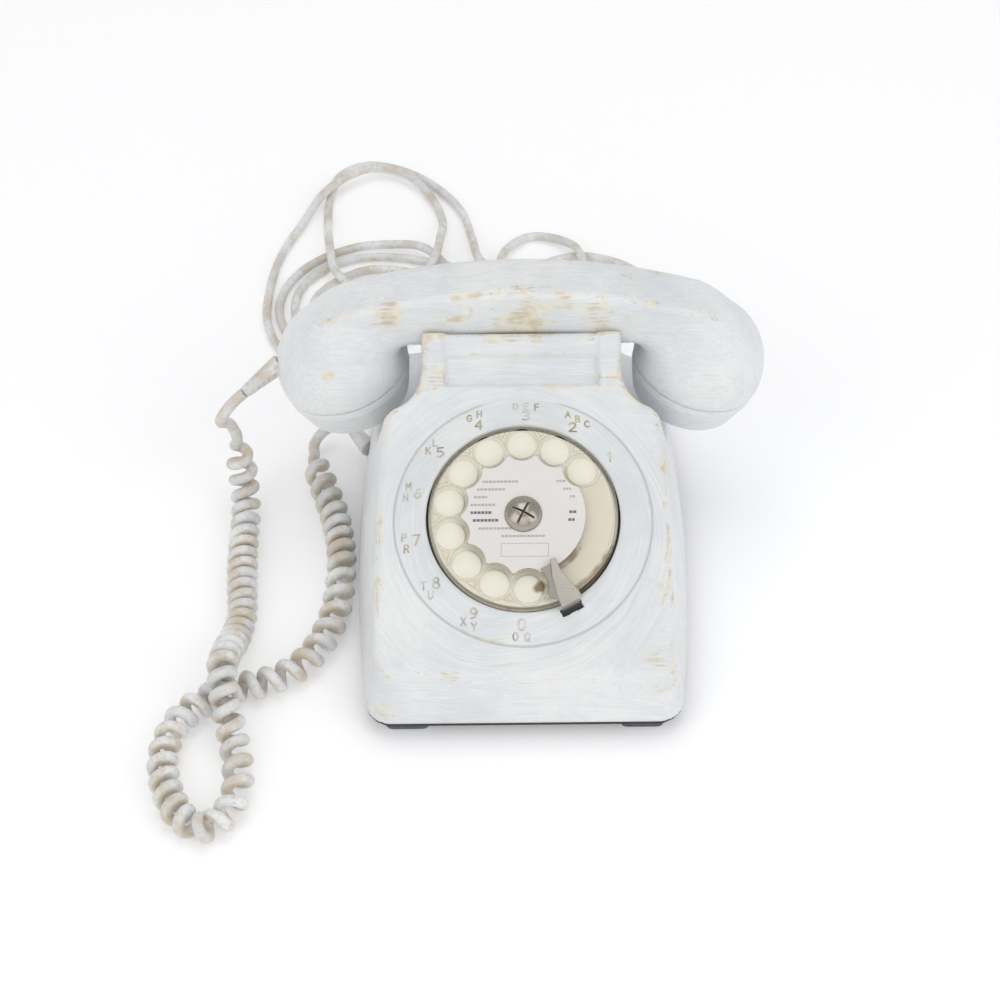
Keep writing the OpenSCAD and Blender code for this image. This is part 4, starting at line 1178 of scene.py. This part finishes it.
def make_dial():
    """The pan, the clear wheel, the finger stop, the centre screw and the card's print."""
    step = 0.5
    # The pan's outer flange gets painted shade, for the gap between the wheel and the ring.
    pan = sculpt("pan_face", pan_field, (-44, -44, -1), (44, 44, PAN_TOP + 0.8), step, from_dial,
                 {"pale": pan_pale, "grime": pan_grime,
                  "painted_shade": lambda p: step_up((np.hypot(p[:, 0], p[:, 1]) - 42.1) / 0.5)})
    finish_piece(pan, "cream_plastic", "root", ["dial_pan"])
    wheel = sculpt("clear_wheel", wheel_field, (-43, -43, WHEEL_Z - 0.2), (43, 43, WHEEL_Z + 3), step,
                   from_dial, {"rim": wheel_rim})
    finish_piece(wheel, "clear_plastic", "dial", ["finger_wheel"])
    stop = sculpt("stop_bar", stop_field, (24, -8.5, 2.2), (47.5, 6.5, STOP_Z + 1.8), 0.35,
                  lambda p: from_dial(turned(p, STOP_ANGLE)), {"shade": stop_shade})
    finish_piece(stop, "nickel", "root", ["finger_stop"], "worn_steel")
    screw = sculpt("centre_screw", screw_field, (-9, -9, -1.8), (9, 9, CARD_TOP + 4.3), 0.25, from_dial,
                   {"shade": screw_shade})
    finish_piece(screw, "nickel", "dial", ["dial_screw"])
    make_card_print()


def turned(points, angle):
    """Points turned about the dial's axis."""
    x, y, z = np.asarray(points, float).T
    s, c = sin(angle), cos(angle)
    return np.stack([x * c - y * s, x * s + y * c, z], 1)


def make_card_print():
    """Plain bars that stand for the card's lines of print, and the empty name box."""
    rows = [(15.2, (-18, -2), (15, 19)), (11.6, (-20.5, -8), (18, 21.5)), (8.0, (-22, -16), (21, 24)),
            (4.4, (-23.5, -12)), (0.8, (-23.5, -14), (20.5, 24)), (-2.8, (-22.5, -11), (20, 23.5)),
            (-6.6, (-20, -4)), (-10.2, (-10, 10))]
    box_left, box_right, box_low, box_high, line_width = -10, 11, -19.6, -13.6, 0.25
    points, faces = [], []

    def strip(x0, x1, y0, y1):
        base = len(points)
        for z in (CARD_TOP - 0.04, CARD_TOP + 0.06):
            points.extend([(x0, y0, z), (x1, y0, z), (x1, y1, z), (x0, y1, z)])
        for f in ((3, 2, 1, 0), (4, 5, 6, 7), (0, 1, 5, 4), (1, 2, 6, 5), (2, 3, 7, 6), (3, 0, 4, 7)):
            faces.append([base + n for n in f])

    for y, *bars in rows:
        h = 1.0 if abs(y) > 3 else 1.2
        for x, right in bars:
            while x < right - 0.6:
                width = 0.8 + 0.3 * (int(x * 7) % 3)
                strip(x, min(x + width, right), y - h / 2, y + h / 2)
                x += width + 0.3
    for y in (box_high, box_low):
        strip(box_left, box_right, y - line_width / 2, y + line_width / 2)
    for x in (box_left, box_right):
        strip(x - 0.12, x + 0.12, box_low - 0.1, box_high + 0.1)
    bold = [1.0 if abs(p[1]) < 3.6 else 0.0 for p in points]
    card = make_mesh("card_print", from_dial(points), faces, {"bold": bold}, smooth=False)
    finish_piece(card, "card", "dial", (), "ink")


def make_feet():
    """Four rubber feet with rounded edges and a shallow ring under each."""
    def foot(x, y, z):
        draft = 0.03 * (7 - z)
        block = rounded_max(rounded_max(abs(x) - 10 + draft, abs(y) - 9 + draft, 3),
                            abs(z - 3.5) - 3.5, 0.8)
        return rounded_max(block, -np.maximum(abs(np.hypot(x, y) - 5) - 0.8, z - 0.8), 0.2)
    points, quads = net(foot, (-10, -9, 0), (10, 9, 7), 0.7)
    every, faces = [], []
    for x in (-FOOT_X, FOOT_X):
        for y in FEET_Y:
            faces.append(quads + sum(len(e) for e in every))
            every.append(points + np.array([x, y, 0]))
    feet = make_mesh("soft_feet", np.vstack(every), np.vstack(faces))
    finish_piece(feet, "rubber", "root", ["rubber_feet"])


def plug_field(x, y, z):
    """Line plug: a flat housing with finger grooves, and a collar where the cord enters."""
    sides = rounded_max(abs(x - PLUG_X) - 14.8, abs(y - PLUG_Y) - 9.8, 3)
    body = rounded_max(sides, abs(z - PLUG_Z) - 10.8, 2.5)
    for i in range(4):
        groove = np.hypot(x + 22 + i * 4, abs(z - PLUG_Z) - 11.6) - 1.3
        body = rounded_max(body, -groove, 0.4)
    collar = rounded_max(np.hypot(y - PLUG_Y, z - PLUG_Z) - 3.4, abs(x + 46.5) - 5.4, 0.8)
    return rounded_min(body, collar, 1)


def make_plug():
    plug = sculpt("plug_housing", plug_field, (-53, 105, 0.5), (-11, 127, 23.5), 0.6)
    return finish_piece(plug, "cord_plastic", "root", ["line_plug"])


def dress_cad_nodes():
    """Every CAD node gets the material of its slot."""
    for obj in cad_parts.values():
        slot = obj.data.materials[0].name.split(".")[0]
        for i in range(len(obj.data.materials)):
            obj.data.materials[i] = materials[slot]


# ---------------------------------------------------------------- studio

def make_floor():
    """A round floor that curves up far away, the same from every side."""
    flat, curve, sides, drop = 4000, 1600, 96, 0.2
    rise = np.arange(17) / 16 * math.pi / 2
    profile = np.stack([flat + curve * np.sin(rise), curve - curve * np.cos(rise)], 1)
    turn = 2 * math.pi * np.arange(sides) / sides
    points = [(r * math.cos(a), r * math.sin(a), z - drop) for r, z in profile for a in turn]
    floor = make_mesh("floor", points, [list(range(sides))] + woven(len(profile), sides).tolist())
    s = Shader("floor_paper", 0.9, Specular_IOR_Level=0.1)
    s.colour(s.mix(s.noise(3, 2), (0.88, 0.88, 0.88), (0.90, 0.90, 0.90)))
    away = s.node("ShaderNodeVectorMath", {0: s.place}, operation="LENGTH")
    glow = s.blend(s.between(away.outputs["Value"], 0.5, 2.6), 0.19, 0.36)
    s.surface.inputs["Emission Color"].default_value = (0.98, 0.98, 1.0, 1)
    s.join(glow, s.surface.inputs["Emission Strength"])
    floor.data.materials.append(s.material)


def make_lights():
    world = bpy.data.worlds.new("studio")
    bpy.context.scene.world = world
    world.use_nodes = True
    sky = world.node_tree.nodes["Background"].inputs
    sky["Color"].default_value = (0.98, 0.985, 1.0, 1)
    sky["Strength"].default_value = 0.56
    for name, place, size, power in (("left_box", (-1.1, -0.9, 1.3), 1.2, 4.6),
                                     ("right_box", (1.2, -0.8, 1.3), 1.2, 5.4),
                                     ("front_box", (0.0, -1.5, 1.3), 1.2, 3.1),
                                     ("top_box", (0.0, 0.4, 2.0), 1.4, 7.2)):
        light = show(name, bpy.data.lights.new(name, "AREA"))
        light.data.energy = power
        light.data.size = size
        light.location = place
        look_at(light, (0, 0, 0.05))
    bpy.context.scene.view_settings.view_transform = "Standard"


# ---------------------------------------------------------------- all

make_camera()
materials.update(make_materials())
line_lead, line_length = make_line_cord()
boots = make_reliefs()
plug = make_plug()
make_handset_cord()
make_body()
make_handset()
make_ring()
make_dial()
make_feet()
make_hook_spring()
dress_cad_nodes()
make_floor()
make_lights()
